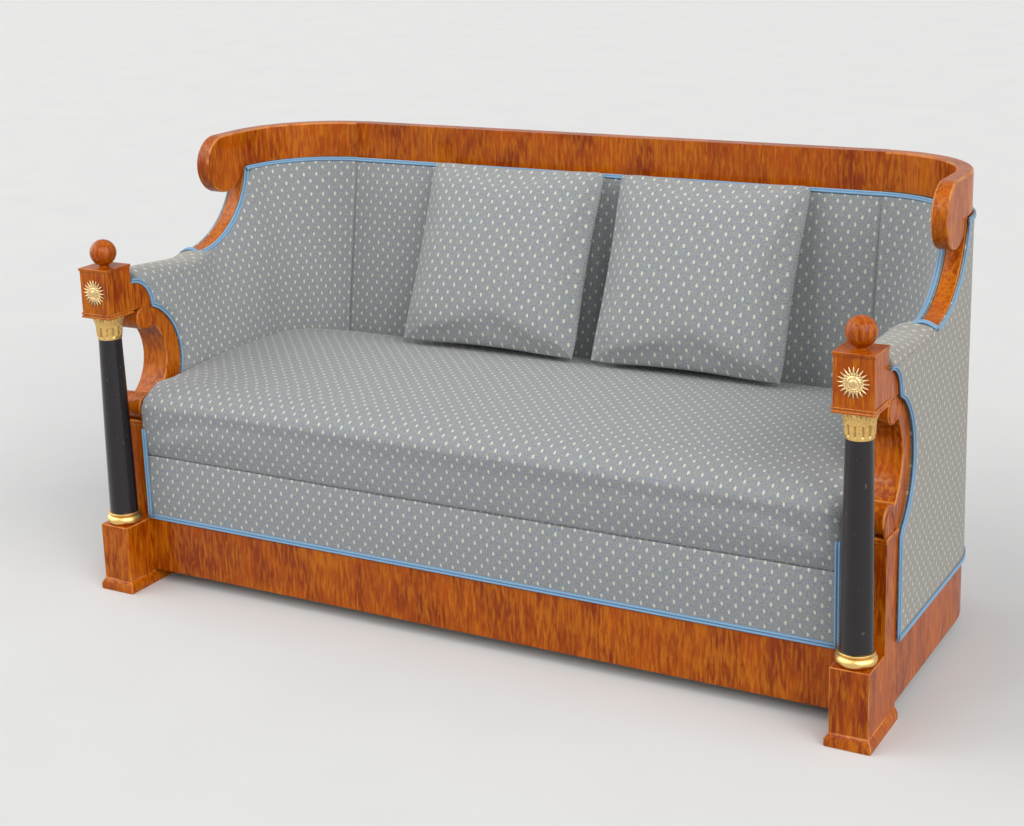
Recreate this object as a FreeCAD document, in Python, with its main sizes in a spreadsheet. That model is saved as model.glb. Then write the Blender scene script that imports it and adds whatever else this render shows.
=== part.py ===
import FreeCAD, Part
import math
import os
import re
from types import SimpleNamespace

# A sofa with columned arms and a rounded back, in millimetres.
# X runs along the seat, Y from the front to the back, Z up from the floor.

Vector = FreeCAD.Vector
SIDES = (("left", -1), ("right", 1))

# Driving dimensions: name, millimetres (or a count, or degrees), what it is
SIZES = (
    ("overall_width", 1810, "across the two foot mouldings"),
    ("overall_depth", 810, "from the foot mouldings to the outer back cover"),
    ("overall_height", 970, "floor to the top of the crest rail"),
    ("crest_over_arm", 222, "top of the crest rail over the plate on the arm block"),
    ("fit_gap", 0.3, "clearance between curved or fitted faces"),
    ("soft_gap", 1.5, "clearance round the stuffed pieces"),
    ("cover_thickness", 4, "outer covers"),
    ("foot_width", 90, "foot moulding, square at the front"),
    ("foot_height", 27, "foot moulding"),
    ("foot_fascia", 15, "upright edge of the foot moulding"),
    ("plinth_width", 76, "plinth block under the column, and the corner post behind it"),
    ("plinth_height", 155, "floor to the top of the plinth block"),
    ("post_set", 11, "front of the corner post behind the arm block's back"),
    ("post_depth", 67, "corner post, front to back"),
    ("post_height", 370, "floor to the top of the corner post"),
    ("ledge_thickness", 12, "ledge on the corner post"),
    ("ledge_overhang", 2, "ledge beyond the post"),
    ("ring_width", 78, "gilt ring under the shaft"),
    ("ring_height", 27, "gilt ring under the shaft"),
    ("ring_bulge", 11, "radius of the ring's half-round edge"),
    ("shaft_foot_width", 63, "column shaft at its foot"),
    ("shaft_head_width", 51, "column shaft at its head"),
    ("tenon_width", 24, "round tenon at each end of the shaft"),
    ("tenon_depth", 18, "tenon inside the plinth and the arm block"),
    ("capital_foot_width", 53, "gilt capital at its band"),
    ("capital_waist_width", 55, "gilt capital where the bell starts to flare"),
    ("capital_head_width", 69, "gilt capital at its lip"),
    ("capital_height", 52, "gilt capital"),
    ("capital_band", 8, "plain band at the foot of the capital"),
    ("capital_flare", 17, "height of the flare under the lip"),
    ("abacus_width", 81, "square plate over the capital"),
    ("abacus_thickness", 11, "square plate over the capital"),
    ("abacus_groove", 3, "groove between the plate's two fillets"),
    ("block_height", 94, "arm block"),
    ("ear_radius", 62, "rounded ear behind the arm block"),
    ("ear_drop", 6, "ear below the underside of the arm block"),
    ("cap_width", 80, "plate on the arm block"),
    ("cap_thickness", 6, "plate on the arm block"),
    ("ball_width", 58, "ball finial"),
    ("ball_neck_width", 26, "neck under the ball"),
    ("ball_neck_height", 3, "neck under the ball"),
    ("spigot_width", 12, "spigot of the ball finial"),
    ("spigot_depth", 22, "spigot inside the arm block"),
    ("rosette_width", 60, "gilt sun rosette across its rays"),
    ("rosette_disc_width", 40, "disc that the rays grow from"),
    ("rosette_boss_width", 17, "boss in the middle of the rosette"),
    ("rosette_thickness", 3, "disc and rays"),
    ("rosette_boss_rise", 3, "boss above the disc"),
    ("rosette_ray_width", 4.4, "one ray"),
    ("rosette_rays", 20, "count of the rays"),
    ("rosette_pin_width", 3, "pin that holds the rosette"),
    ("rosette_pin_length", 12, "pin that holds the rosette"),
    ("scroll_width", 70, "C-scroll across the arm"),
    ("scroll_reach", 74, "C-scroll behind the back of the post"),
    ("scroll_thickness", 47, "C-scroll at its middle"),
    ("upper_roll_radius", 26.5, "roll at the head of the C-scroll"),
    ("lower_roll_radius", 30, "roll at the foot of the C-scroll"),
    ("neck_reach", 1.2, "neck behind the middle of a roll, in roll radii"),
    ("lower_neck_rise", 1.6, "neck over the foot of the lower roll, in roll radii"),
    ("upper_neck_drop", 1.95, "neck under the head of the upper roll, in roll radii"),
    ("rail_clearance", 33, "floor to the underside of the seat rails"),
    ("rail_height", 122, "seat rails"),
    ("rail_thickness", 34, "seat rails"),
    ("rail_setback", 1, "front rail behind the face of the arm block's back"),
    ("crest_height", 86, "crest rail"),
    ("crest_thickness", 34, "crest rail, and the boards below it"),
    ("volute_radius", 68, "round end of the crest rail"),
    ("arm_length", 282, "back of the arm block to the tip of the wing board"),
    ("arm_drop", 42, "top of the arm rail below the cap plate"),
    ("arm_rail_height", 45, "arm rail"),
    ("wing_tip_rise", 13, "tip of the wing board above the arm rail"),
    ("wing_reach", 200, "tip of the wing board to the head of its hollow edge"),
    ("wing_tip_depth", 56, "wing board below its tip"),
    ("wing_lap", 8, "wing board behind the head of its hollow edge"),
    ("upright_width", 50, "hidden uprights"),
    ("corner_upright_thickness", 28, "hidden upright in the rounded corner"),
    ("back_upright_spacing", 400, "between the hidden uprights of the back"),
    ("tacking_rail_height", 40, "rails that the covers are tacked to"),
    ("tacking_rail_thickness", 20, "rails that the covers are tacked to"),
    ("tacking_rail_base", 320, "floor to the underside of the tacking rails"),
    ("cross_rail_width", 30, "rails across the seat frame"),
    ("cross_rail_height", 60, "rails across the seat frame"),
    ("cross_rail_x", 300, "rails across the seat frame, from the middle"),
    ("glue_block_width", 46, "glue blocks in the front corners"),
    ("glue_block_height", 90, "glue blocks in the front corners"),
    ("dowel_width", 12, "dowels in the rail joints"),
    ("dowel_length", 60, "dowels in the rail joints"),
    ("dowel_spacing", 56, "between the two dowels of a joint"),
    ("rear_foot_width", 48, "turned rear foot"),
    ("rear_foot_toe_width", 40, "turned rear foot at the floor"),
    ("webbing_width", 50, "webbing strips under the seat"),
    ("webbing_thickness", 1.5, "webbing strips under the seat"),
    ("spring_width", 96, "coil springs, outside"),
    ("spring_wire", 4, "coil springs"),
    ("spring_turns", 5, "count of turns in a spring"),
    ("spring_bends", 12, "count of straight lengths in one turn of a spring"),
    ("spring_sides", 6, "count of sides of the spring wire"),
    ("spring_columns", 6, "count of springs along the seat"),
    ("spring_rows", 3, "count of springs from front to back"),
    ("spring_side_room", 82.5, "axis of the last spring from the side of the seat"),
    ("hessian_thickness", 2, "hessian over the springs"),
    ("dust_cover_thickness", 1, "cloth under the seat"),
    ("border_top", 306, "floor to the seam over the seat border"),
    ("border_thickness", 42, "seat border"),
    ("border_bulge", 6, "seat border in front of the rail"),
    ("seat_lip_height", 430, "floor to the foot of the seat's rounded front edge"),
    ("seat_edge_height", 468, "floor to the top of the seat's rounded front edge"),
    ("seat_crown_height", 488, "floor to the middle of the seat"),
    ("seat_back_height", 478, "floor to the back edge of the seat"),
    ("seat_side_drop", 14, "seat at its sides, below its middle"),
    ("seat_bulge", 14, "seat pad in front of the rail"),
    ("seat_edge_depth", 52, "depth of the seat's rounded front edge"),
    ("seat_heel_share", 0.4, "bulge left at the foot of the seat pad"),
    ("seat_lip_share", 0.5, "bulge left at the foot of the rounded edge"),
    ("seat_side_flatness", 0.4, "bulge lost at the sides of the seat"),
    ("seat_corner_fullness", 1.12, "back corners of the seat, against a round one"),
    ("pad_base", 381, "floor to the underside of the back and side pads"),
    ("pad_top_thickness", 15, "pads under the crest rail"),
    ("pad_middle_share", 0.6, "height of the pads' middle thickness, as a share"),
    ("arm_pad_thickness", 58, "side pads at their foot"),
    ("arm_pad_middle", 55, "side pads half way up"),
    ("pad_swell", 8, "side pads fuller above their foot"),
    ("arm_pad_shoulder", 50, "side pads under the arm top"),
    ("back_pad_thickness", 98, "back pad at the seat"),
    ("back_pad_middle", 52, "back pad half way up"),
    ("back_pad_crown", 5, "back pad fuller at its middle"),
    ("arm_top_rise", 30, "arm top over the arm rail"),
    ("arm_top_edge", 8, "arm top's edge over the arm rail"),
    ("cushion_width", 455, "loose cushion"),
    ("cushion_height", 440, "loose cushion"),
    ("cushion_thickness", 105, "loose cushion at its crown"),
    ("cushion_edge", 14, "loose cushion at its sewn edge"),
    ("cushion_draw", 12, "head and foot drawn in between the corners"),
    ("cushion_side_swell", 0.12, "crown left at the side seams, as a share"),
    ("cushion_fullness", 0.75, "power of the crown's fall towards the sides"),
    ("cushion_lean", 24, "degrees that a cushion leans back"),
    ("cushion_left_x", -200, "middle of the left cushion"),
    ("cushion_right_x", 292, "middle of the right cushion"),
    ("cushion_clearance", 5, "cushion over the seat"),
    ("cushion_stand_off", 16, "crown of the cushion in front of the back pad"),
)

# Places worked out from the driving dimensions
PLACES = (
    ("column_x", "(overall_width - foot_width) / 2", "column axis"),
    ("column_y", "(foot_width - overall_depth) / 2", "column axis"),
    ("outer_x", "column_x + plinth_width / 2", "outer face of rails, boards and crest"),
    ("post_inner_x", "column_x - plinth_width / 2", "inner face of the corner post"),
    ("inner_x", "outer_x - crest_thickness", "inner face of the boards and the crest"),
    ("back_y", "overall_depth / 2 - cover_thickness", "outer face of the back"),
    ("inner_y", "back_y - crest_thickness", "inner face of the crest at the back"),
    ("block_back_y", "column_y + plinth_width / 2", "back of the plinth and the arm block"),
    ("post_front_y", "block_back_y + post_set", "front of the corner post"),
    ("post_back_y", "post_front_y + post_depth", "back of the corner post"),
    ("wing_tip_y", "block_back_y + arm_length", "tip of the wing board"),
    ("wing_end_y", "wing_tip_y + wing_reach", "head of the wing board's hollow edge"),
    ("corner_y", "wing_end_y + wing_lap", "start of the rounded back"),
    ("corner_radius", "back_y - corner_y", "outer radius of the rounded back"),
    ("corner_x", "outer_x - corner_radius", "axis of the rounded corner"),
    ("inner_radius", "corner_radius - crest_thickness", "inner radius of the crest's corner"),
    ("volute_y", "wing_end_y - volute_radius", "middle of the volute"),
    ("volute_z", "overall_height - volute_radius", "middle of the volute"),
    ("crest_base", "overall_height - crest_height", "underside of the crest rail"),
    ("rail_top", "rail_clearance + rail_height", "top of the seat rails"),
    ("shaft_base", "plinth_height + ring_height", "foot of the shaft"),
    ("head_height", "capital_height + abacus_thickness + block_height + cap_thickness",
     "capital, arm block and its plates"),
    ("shaft_height", "overall_height - crest_over_arm - head_height - shaft_base", "visible column shaft"),
    ("capital_base", "shaft_base + shaft_height", "foot of the capital"),
    ("abacus_base", "capital_base + capital_height", "underside of the abacus"),
    ("block_base", "abacus_base + abacus_thickness", "underside of the arm block"),
    ("cap_base", "block_base + block_height", "underside of the cap plate"),
    ("ear_base", "block_base - ear_drop", "underside of the ear"),
    ("scroll_base", "post_height + ledge_thickness", "foot of the C-scroll"),
    ("arm_rail_top", "cap_base - arm_drop", "top of the arm rail"),
    ("wing_tip_z", "arm_rail_top + wing_tip_rise", "tip of the wing board"),
    ("wing_height", "crest_base - wing_tip_z", "height of the wing board's hollow edge"),
    ("wing_radius", "(wing_reach * wing_reach + wing_height * wing_height) / (2 * wing_height)",
     "radius of the wing board's hollow edge"),
    ("wing_base", "wing_tip_z - wing_tip_depth", "underside of the wing board"),
    ("seat_half_width", "inner_x - arm_pad_thickness - pad_swell - 2 * soft_gap", "seat between the arms"),
    ("spring_spacing", "2 * (seat_half_width - spring_side_room) / (spring_columns - 1)",
     "between the springs along the seat"),
    ("seat_front_half", "post_inner_x - ledge_overhang - soft_gap", "seat between the corner posts"),
    ("rail_front_y", "block_back_y + rail_setback", "front of the front rail"),
    ("seat_back_y", "inner_y - back_pad_thickness - back_pad_crown - 2 * soft_gap", "back of the seat"),
    ("seat_base", "border_top + soft_gap", "underside of the seat pad"),
    ("hessian_top", "border_top - soft_gap", "top of the hessian"),
    ("spring_base", "rail_clearance", "springs stand on the webbing"),
    ("diagonal", "sqrt(0.5)", "share of a length that a line at 45 degrees has along X or Y"),
)

doc = FreeCAD.newDocument("biedermeier_sofa")
sheet = doc.addObject("Spreadsheet::Sheet", "Sizes")
for row, (alias, value, note) in enumerate(SIZES, start=1):
    sheet.set(f"A{row}", note)
    sheet.set(f"B{row}", str(value))
    sheet.setAlias(f"B{row}", alias)
for row, (alias, formula, note) in enumerate(PLACES, start=len(SIZES) + 1):
    sheet.set(f"A{row}", note)
    sheet.set(f"B{row}", "=" + formula)
    sheet.setAlias(f"B{row}", alias)
doc.recompute()
size = SimpleNamespace(**{alias: float(sheet.get(alias)) for alias, _, _ in SIZES + PLACES})

nodes = {}
groups = {}


def in_sheet(text):
    """An expression whose words are the sheet's names."""
    return re.sub(r"[a-z][a-z_]+", lambda word: "Sizes." + word.group(), text)


def bind(piece, **expressions):
    for name, text in expressions.items():
        piece.setExpression(name, in_sheet(text))
    return piece


def place(piece, corner):
    for axis, text in zip("xyz", corner):
        piece.setExpression(f"Placement.Base.{axis}", in_sheet(text))
    return piece


def turned_to(piece, axis):
    """Turns a piece that is made along Z so that it lies along X or Y."""
    turns = {"x": FreeCAD.Rotation(Vector(0, 1, 0), 90), "y": FreeCAD.Rotation(Vector(1, 0, 0), -90)}
    if axis in turns:
        piece.Placement = FreeCAD.Placement(Vector(), turns[axis])


def box(name, corner, lengths):
    piece = doc.addObject("Part::Box", name)
    bind(piece, Length=lengths[0], Width=lengths[1], Height=lengths[2])
    return place(piece, corner)


def cylinder(name, foot, radius, height, axis="z"):
    piece = doc.addObject("Part::Cylinder", name)
    turned_to(piece, axis)
    bind(piece, Radius=radius, Height=height)
    return place(piece, foot)


def cone(name, foot, foot_radius, head_radius, height):
    piece = doc.addObject("Part::Cone", name)
    bind(piece, Radius1=foot_radius, Radius2=head_radius, Height=height)
    return place(piece, foot)


def fuse(name, *pieces):
    joined = doc.addObject("Part::MultiFuse", name)
    joined.Shapes = list(pieces)
    joined.Refine = True
    return joined


def cut(name, base, tool):
    piece = doc.addObject("Part::Cut", name)
    piece.Base = base
    piece.Tool = tool
    return piece


def made(name, shape):
    """A piece whose shape is worked out from the sheet's sizes."""
    piece = doc.addObject("Part::Feature", name)
    piece.Shape = shape
    piece.Placement = FreeCAD.Placement()
    return piece


def node(label, piece):
    piece.Label = label
    nodes[label] = piece


def grouped(label, piece):
    """Hidden pieces of one kind share a node, as separate solids."""
    if label not in groups:
        groups[label] = doc.addObject("Part::Compound", f"{label}_group")
        node(label, groups[label])
    groups[label].Links = groups[label].Links + [piece]


def line(start, end):
    return Part.LineSegment(start, end).toShape()


def arc(start, middle, end):
    return Part.Arc(start, middle, end).toShape()


def prism(edges, run):
    return Part.Face(Part.Wire(edges)).extrude(run)


def on_side(shape, sign):
    """The right-hand shape as it is, or mirrored for the left."""
    return shape if sign > 0 else shape.mirror(Vector(), Vector(1, 0, 0))


def dowel_joints():
    """Where each pair of dowels crosses a joint: name, middle, axis, and the pair's spacing direction."""
    rail_middle_z = "rail_clearance + rail_height / 2"
    side_rail_x = "(outer_x - rail_thickness / 2)"
    back_rail_y = "back_y - rail_thickness / 2"
    crest_middle_y = "back_y - crest_thickness / 2"
    crest_middle_z = "crest_base + crest_height / 2"
    joints = []
    for side, sign in SIDES:
        joints.append((f"crest_{side}", (f"{sign} * corner_x", crest_middle_y, crest_middle_z), "x"))
        joints.append((f"front_{side}",
                       (f"{sign} * post_inner_x", "post_front_y + dowel_width", rail_middle_z), "x"))
        joints.append((f"post_{side}", (f"{sign} * {side_rail_x}", "post_back_y", rail_middle_z), "y"))
        joints.append((f"side_{side}", (f"{sign} * {side_rail_x}", "corner_y", rail_middle_z), "y"))
        joints.append((f"back_{side}", (f"{sign} * corner_x", back_rail_y, rail_middle_z), "x"))
    return joints


def dowel_pegs(name, radius, length):
    """All the dowels, or the holes that they fill."""
    pegs = []
    for joint, middle, axis in dowel_joints():
        for step in ("-", "+"):
            foot = list(middle)
            along = "xyz".index(axis)
            foot[along] = f"{middle[along]} - ({length}) / 2"
            foot[2] = f"{middle[2]} {step} dowel_spacing / 2"
            pegs.append(cylinder(f"{name}_{joint}", foot, radius, length, axis))
    return pegs


hole_pegs = dowel_pegs("hole", "dowel_width / 2 + fit_gap", "dowel_length + 2 * fit_gap")
dowel_holes = fuse("dowel_holes", *hole_pegs)


def make_dowels():
    for peg in dowel_pegs("dowel", "dowel_width / 2", "dowel_length"):
        grouped("frame_dowels", peg)


def make_feet(side, sign):
    depth = "foot_width / 2 + plinth_width / 2 + post_set + post_depth"
    corner = (f"{sign} * column_x - foot_width / 2", "column_y - foot_width / 2", "0")
    fascia = box(f"foot_fascia_{side}", corner, ("foot_width", depth, "foot_fascia"))
    slope = doc.addObject("Part::Wedge", f"foot_slope_{side}")
    projection = "(foot_width - plinth_width) / 2"
    bind(slope, Xmin="0", Xmax="foot_width", X2min=projection, X2max="foot_width - " + projection)
    bind(slope, Zmin="0", Zmax=depth, Z2min="0", Z2max=f"{depth} - {projection}")
    bind(slope, Ymin="0", Ymax="foot_height - foot_fascia")
    # The wedge rises along its own Y, so it is laid on its back with its front to the front.
    slope.Placement = FreeCAD.Placement(Vector(), FreeCAD.Rotation(Vector(1, 0, 0), 90))
    place(slope, (corner[0], f"{corner[1]} + {depth}", "foot_fascia"))
    node(f"foot_moulding_{side}", fuse(f"foot_{side}", fascia, slope))

    reach = "(corner_radius - rear_foot_width / 2 - fit_gap) * diagonal"
    rear = cone(f"rear_{side}", (f"{sign} * (corner_x + {reach})", f"corner_y + {reach}", "0"),
                "rear_foot_toe_width / 2", "rear_foot_width / 2", "rail_clearance")
    grouped("rear_feet", rear)


def make_post(side, sign):
    x = f"{sign} * column_x - plinth_width / 2"
    plinth = box(f"plinth_body_{side}", (x, "column_y - plinth_width / 2", "foot_height"),
                 ("plinth_width", "plinth_width + post_set", "plinth_height - foot_height"))
    socket = cylinder(f"plinth_socket_{side}", (f"{sign} * column_x", "column_y", "plinth_height - tenon_depth"),
                      "tenon_width / 2 + fit_gap", "tenon_depth")
    node(f"plinth_block_{side}", cut(f"plinth_{side}", plinth, socket))

    post = box(f"post_body_{side}", (x, "post_front_y", "foot_height"),
               ("plinth_width", "post_depth", "post_height - foot_height"))
    node(f"corner_post_{side}", cut(f"post_{side}", post, dowel_holes))

    ledge = box(f"ledge_{side}", (f"{x} - ledge_overhang", "post_front_y - ledge_overhang", "post_height"),
                ("plinth_width + 2 * ledge_overhang", "post_depth + 2 * ledge_overhang", "ledge_thickness"))
    node(f"post_ledge_{side}", ledge)


def make_column(side, sign):
    x = f"{sign} * column_x"
    core = cylinder(f"ring_core_{side}", (x, "column_y", "plinth_height"), "ring_width / 2 - ring_bulge",
                    "ring_height")
    bulge = doc.addObject("Part::Torus", f"ring_bulge_{side}")
    bind(bulge, Radius1="ring_width / 2 - ring_bulge", Radius2="ring_bulge")
    place(bulge, (x, "column_y", "plinth_height + ring_bulge"))
    lip = cylinder(f"ring_lip_{side}", (x, "column_y", "plinth_height + 2 * ring_bulge"),
                   "(ring_width + shaft_foot_width) / 4", "ring_height - 2 * ring_bulge")
    bore = cylinder(f"ring_bore_{side}", (x, "column_y", "plinth_height"), "tenon_width / 2 + fit_gap",
                    "ring_height")
    node(f"column_ring_{side}", cut(f"ring_{side}", fuse(f"ring_body_{side}", core, bulge, lip), bore))

    drum = cone(f"shaft_drum_{side}", (x, "column_y", "shaft_base"), "shaft_foot_width / 2",
                "shaft_head_width / 2", "shaft_height")
    lower = cylinder(f"lower_tenon_{side}", (x, "column_y", "plinth_height - tenon_depth + fit_gap"),
                     "tenon_width / 2", "tenon_depth + ring_height - fit_gap")
    upper = cylinder(f"upper_tenon_{side}", (x, "column_y", "capital_base"), "tenon_width / 2",
                     "capital_height + abacus_thickness + tenon_depth - fit_gap")
    node(f"column_shaft_{side}", fuse(f"shaft_{side}", drum, lower, upper))

    band = cylinder(f"capital_band_{side}", (x, "column_y", "capital_base"), "capital_foot_width / 2",
                    "capital_band")
    bell = cone(f"capital_bell_{side}", (x, "column_y", "capital_base + capital_band"), "shaft_head_width / 2",
                "capital_waist_width / 2", "capital_height - capital_band - capital_flare")
    flare = cone(f"capital_flare_{side}", (x, "column_y", "abacus_base - capital_flare"),
                 "capital_waist_width / 2", "capital_head_width / 2", "capital_flare")
    hollow = cylinder(f"capital_bore_{side}", (x, "column_y", "capital_base"), "tenon_width / 2 + fit_gap",
                      "capital_height")
    capital = fuse(f"capital_body_{side}", band, bell, flare)
    node(f"column_capital_{side}", cut(f"capital_{side}", capital, hollow))


def square_plate(name, sign, width, base, thickness):
    return box(name, (f"{sign} * column_x - ({width}) / 2", f"column_y - ({width}) / 2", base),
               (width, width, thickness))


def make_arm_block(side, sign):
    x = f"{sign} * column_x"
    fillet = "(abacus_thickness - abacus_groove) / 2"
    under = square_plate(f"abacus_under_{side}", sign, "abacus_width", "abacus_base", fillet)
    waist = square_plate(f"abacus_waist_{side}", sign, "plinth_width", f"abacus_base + {fillet}",
                         "abacus_groove")
    over = square_plate(f"abacus_over_{side}", sign, "abacus_width", f"block_base - {fillet}", fillet)
    bore = cylinder(f"abacus_bore_{side}", (x, "column_y", "abacus_base"), "tenon_width / 2 + fit_gap",
                    "abacus_thickness")
    node(f"abacus_{side}", cut(f"abacus_plate_{side}", fuse(f"abacus_body_{side}", under, waist, over), bore))

    body = square_plate(f"block_body_{side}", sign, "plinth_width", "block_base", "block_height")
    ear = doc.addObject("Part::Cylinder", f"ear_{side}")
    # A quarter of a cylinder lying along X, whose round faces up and back.
    ear.Placement = FreeCAD.Placement(Vector(), FreeCAD.Rotation(Vector(0, 1, 0), 90)
                                      * FreeCAD.Rotation(Vector(0, 0, 1), 90))
    ear.Angle = 90
    bind(ear, Radius="ear_radius", Height="plinth_width")
    place(ear, (f"{x} - plinth_width / 2", "block_back_y", "ear_base"))
    socket = cylinder(f"block_socket_{side}", (x, "column_y", "block_base"), "tenon_width / 2 + fit_gap",
                      "tenon_depth")
    spigot_hole = cylinder(f"spigot_hole_{side}", (x, "column_y", "cap_base - spigot_depth"),
                           "spigot_width / 2 + fit_gap", "spigot_depth")
    pin_hole = cylinder(f"pin_hole_{side}", (x, "column_y - plinth_width / 2", "block_base + block_height / 2"),
                        "rosette_pin_width / 2 + fit_gap", "rosette_pin_length + fit_gap", "y")
    abacus_room = square_plate(f"abacus_room_{side}", sign, "abacus_width + 2 * fit_gap", "ear_base",
                               "ear_drop")
    holes = fuse(f"block_holes_{side}", socket, spigot_hole, pin_hole, abacus_room)
    node(f"arm_block_{side}", cut(f"block_{side}", fuse(f"block_solid_{side}", body, ear), holes))

    cap = square_plate(f"cap_body_{side}", sign, "cap_width", "cap_base", "cap_thickness")
    cap_hole = cylinder(f"cap_hole_{side}", (x, "column_y", "cap_base"), "spigot_width / 2 + fit_gap",
                        "cap_thickness")
    node(f"cap_plate_{side}", cut(f"cap_{side}", cap, cap_hole))

    ball = doc.addObject("Part::Sphere", f"ball_{side}")
    bind(ball, Radius="ball_width / 2")
    place(ball, (x, "column_y", "cap_base + cap_thickness + ball_neck_height / 2 + ball_width / 2"))
    neck = cylinder(f"ball_neck_{side}", (x, "column_y", "cap_base + cap_thickness"), "ball_neck_width / 2",
                    "ball_neck_height")
    spigot = cylinder(f"spigot_{side}", (x, "column_y", "cap_base - spigot_depth + fit_gap"),
                      "spigot_width / 2", "spigot_depth + cap_thickness + ball_width / 2")
    node(f"ball_finial_{side}", fuse(f"finial_{side}", ball, neck, spigot))


def make_rosette(side, sign):
    """A disc with a boss and a ring of round-tipped rays, standing on the front of the arm block."""
    reach = size.rosette_width / 2 - size.rosette_ray_width / 2
    half_ray = size.rosette_ray_width / 2
    up = Vector(0, 0, size.rosette_thickness)
    downward = Vector(0, 0, -1)
    pieces = [Part.makeCylinder(size.rosette_boss_width / 2, size.rosette_thickness + size.rosette_boss_rise),
              Part.makeCylinder(size.rosette_pin_width / 2, size.rosette_pin_length, Vector(), downward)]
    count = int(size.rosette_rays)
    for index in range(count):
        root = [Vector(0, -half_ray, 0), Vector(0, half_ray, 0)]
        end = [Vector(reach, -half_ray, 0), Vector(reach, half_ray, 0)]
        tip = Vector(reach + half_ray, 0, 0)
        ray = prism([line(root[0], end[0]), arc(end[0], tip, end[1]), line(end[1], root[1]),
                     line(root[1], root[0])], up)
        ray.rotate(Vector(), Vector(0, 0, 1), index * 360 / count)
        pieces.append(ray)
    disc = Part.makeCylinder(size.rosette_disc_width / 2, size.rosette_thickness)
    rosette = made(f"rosette_{side}", disc.multiFuse(pieces).removeSplitter())
    rosette.Placement = FreeCAD.Placement(Vector(), FreeCAD.Rotation(Vector(1, 0, 0), 90))
    place(rosette, (f"{sign} * column_x", "column_y - plinth_width / 2", "block_base + block_height / 2"))
    node(f"sun_rosette_{side}", rosette)


def scroll_back(clear):
    """The C-scroll's round back from its foot to its head, moved back by a clearance: three points."""
    foot = Vector(0, size.post_back_y + size.ledge_overhang + clear, size.post_height)
    belly_z = (size.post_height + size.ear_base) / 2 - clear
    belly = Vector(0, size.post_back_y + size.scroll_reach + clear, belly_z)
    head = Vector(0, size.block_back_y + size.ear_radius + 2 * size.ledge_overhang + clear, size.ear_base)
    return foot, belly, head


def make_scroll(side, sign):
    foot, belly, head = scroll_back(size.fit_gap)
    head = head - Vector(0, 0, size.fit_gap)
    lower, upper = size.lower_roll_radius, size.upper_roll_radius
    base_z = size.scroll_base + size.fit_gap
    lower_y = size.block_back_y + lower
    upper_y = size.block_back_y + size.plinth_width / 2 + size.ledge_overhang * 2
    heel = Vector(0, foot.y, base_z)
    lower_foot = Vector(0, lower_y, base_z)
    lower_front = Vector(0, lower_y - lower, base_z + lower)
    lower_top = Vector(0, lower_y, base_z + 2 * lower)
    hollow_foot = Vector(0, lower_y + size.neck_reach * lower, base_z + size.lower_neck_rise * lower)
    hollow = belly - Vector(0, size.scroll_thickness, 0)
    upper_foot = Vector(0, upper_y, head.z - 2 * upper)
    upper_front = Vector(0, upper_y - upper, head.z - upper)
    upper_top = Vector(0, upper_y, head.z)
    hollow_head = Vector(0, upper_y + size.neck_reach * upper, head.z - size.upper_neck_drop * upper)
    outline = [arc(foot, belly, head), line(head, upper_top), arc(upper_top, upper_front, upper_foot),
               line(upper_foot, hollow_head), arc(hollow_head, hollow, hollow_foot),
               line(hollow_foot, lower_top), arc(lower_top, lower_front, lower_foot), line(lower_foot, heel),
               line(heel, foot)]
    scroll = made(f"scroll_{side}", prism(outline, Vector(size.scroll_width, 0, 0)))
    place(scroll, (f"{sign} * column_x - scroll_width / 2", "0", "0"))
    node(f"c_scroll_{side}", scroll)


def make_seat_frame():
    front = box("front_rail_body", ("-post_inner_x", "rail_front_y", "rail_clearance"),
                ("2 * post_inner_x", "rail_thickness", "rail_height"))
    node("front_rail", cut("front_rail_drilled", front, dowel_holes))
    back = box("back_rail_body", ("-corner_x", "back_y - rail_thickness", "rail_clearance"),
               ("2 * corner_x", "rail_thickness", "rail_height"))
    node("back_rail", cut("back_rail_drilled", back, dowel_holes))
    for side, sign in SIDES:
        low_x = "outer_x - rail_thickness" if sign > 0 else "-outer_x"
        rail = box(f"side_rail_body_{side}", (low_x, "post_back_y", "rail_clearance"),
                   ("rail_thickness", "corner_y - post_back_y", "rail_height"))
        node(f"side_rail_{side}", cut(f"side_rail_drilled_{side}", rail, dowel_holes))
        bend = rounded_corner(f"corner_rail_body_{side}", sign, "corner_radius",
                              "corner_radius - rail_thickness", "rail_clearance", "rail_height")
        node(f"corner_rail_{side}", cut(f"corner_rail_drilled_{side}", bend, dowel_holes))
        cross = box(f"cross_{side}", (f"{sign} * cross_rail_x - cross_rail_width / 2",
                                      "rail_front_y + rail_thickness",
                                      "rail_clearance + (rail_height - cross_rail_height) / 2"),
                    ("cross_rail_width", "back_y - rail_front_y - 2 * rail_thickness", "cross_rail_height"))
        grouped("seat_cross_rails", cross)
        block_x = "post_inner_x - glue_block_width" if sign > 0 else "-post_inner_x"
        block = box(f"glue_block_{side}", (block_x, "rail_front_y + rail_thickness",
                                           "rail_top - glue_block_height"),
                    ("glue_block_width", "glue_block_width", "glue_block_height"))
        grouped("glue_blocks", block)


def rounded_corner(name, sign, outer, inner, base, height):
    """A quarter of a round wall in the back corner."""
    wall = doc.addObject("Part::Cylinder", f"{name}_wall")
    wall.Angle = 90
    start = 0 if sign > 0 else 90
    wall.Placement = FreeCAD.Placement(Vector(), FreeCAD.Rotation(Vector(0, 0, 1), start))
    bind(wall, Radius=outer, Height=height)
    place(wall, (f"{sign} * corner_x", "corner_y", base))
    space = cylinder(f"{name}_space", (f"{sign} * corner_x", "corner_y", base), inner, height)
    return cut(name, wall, space)


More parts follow.
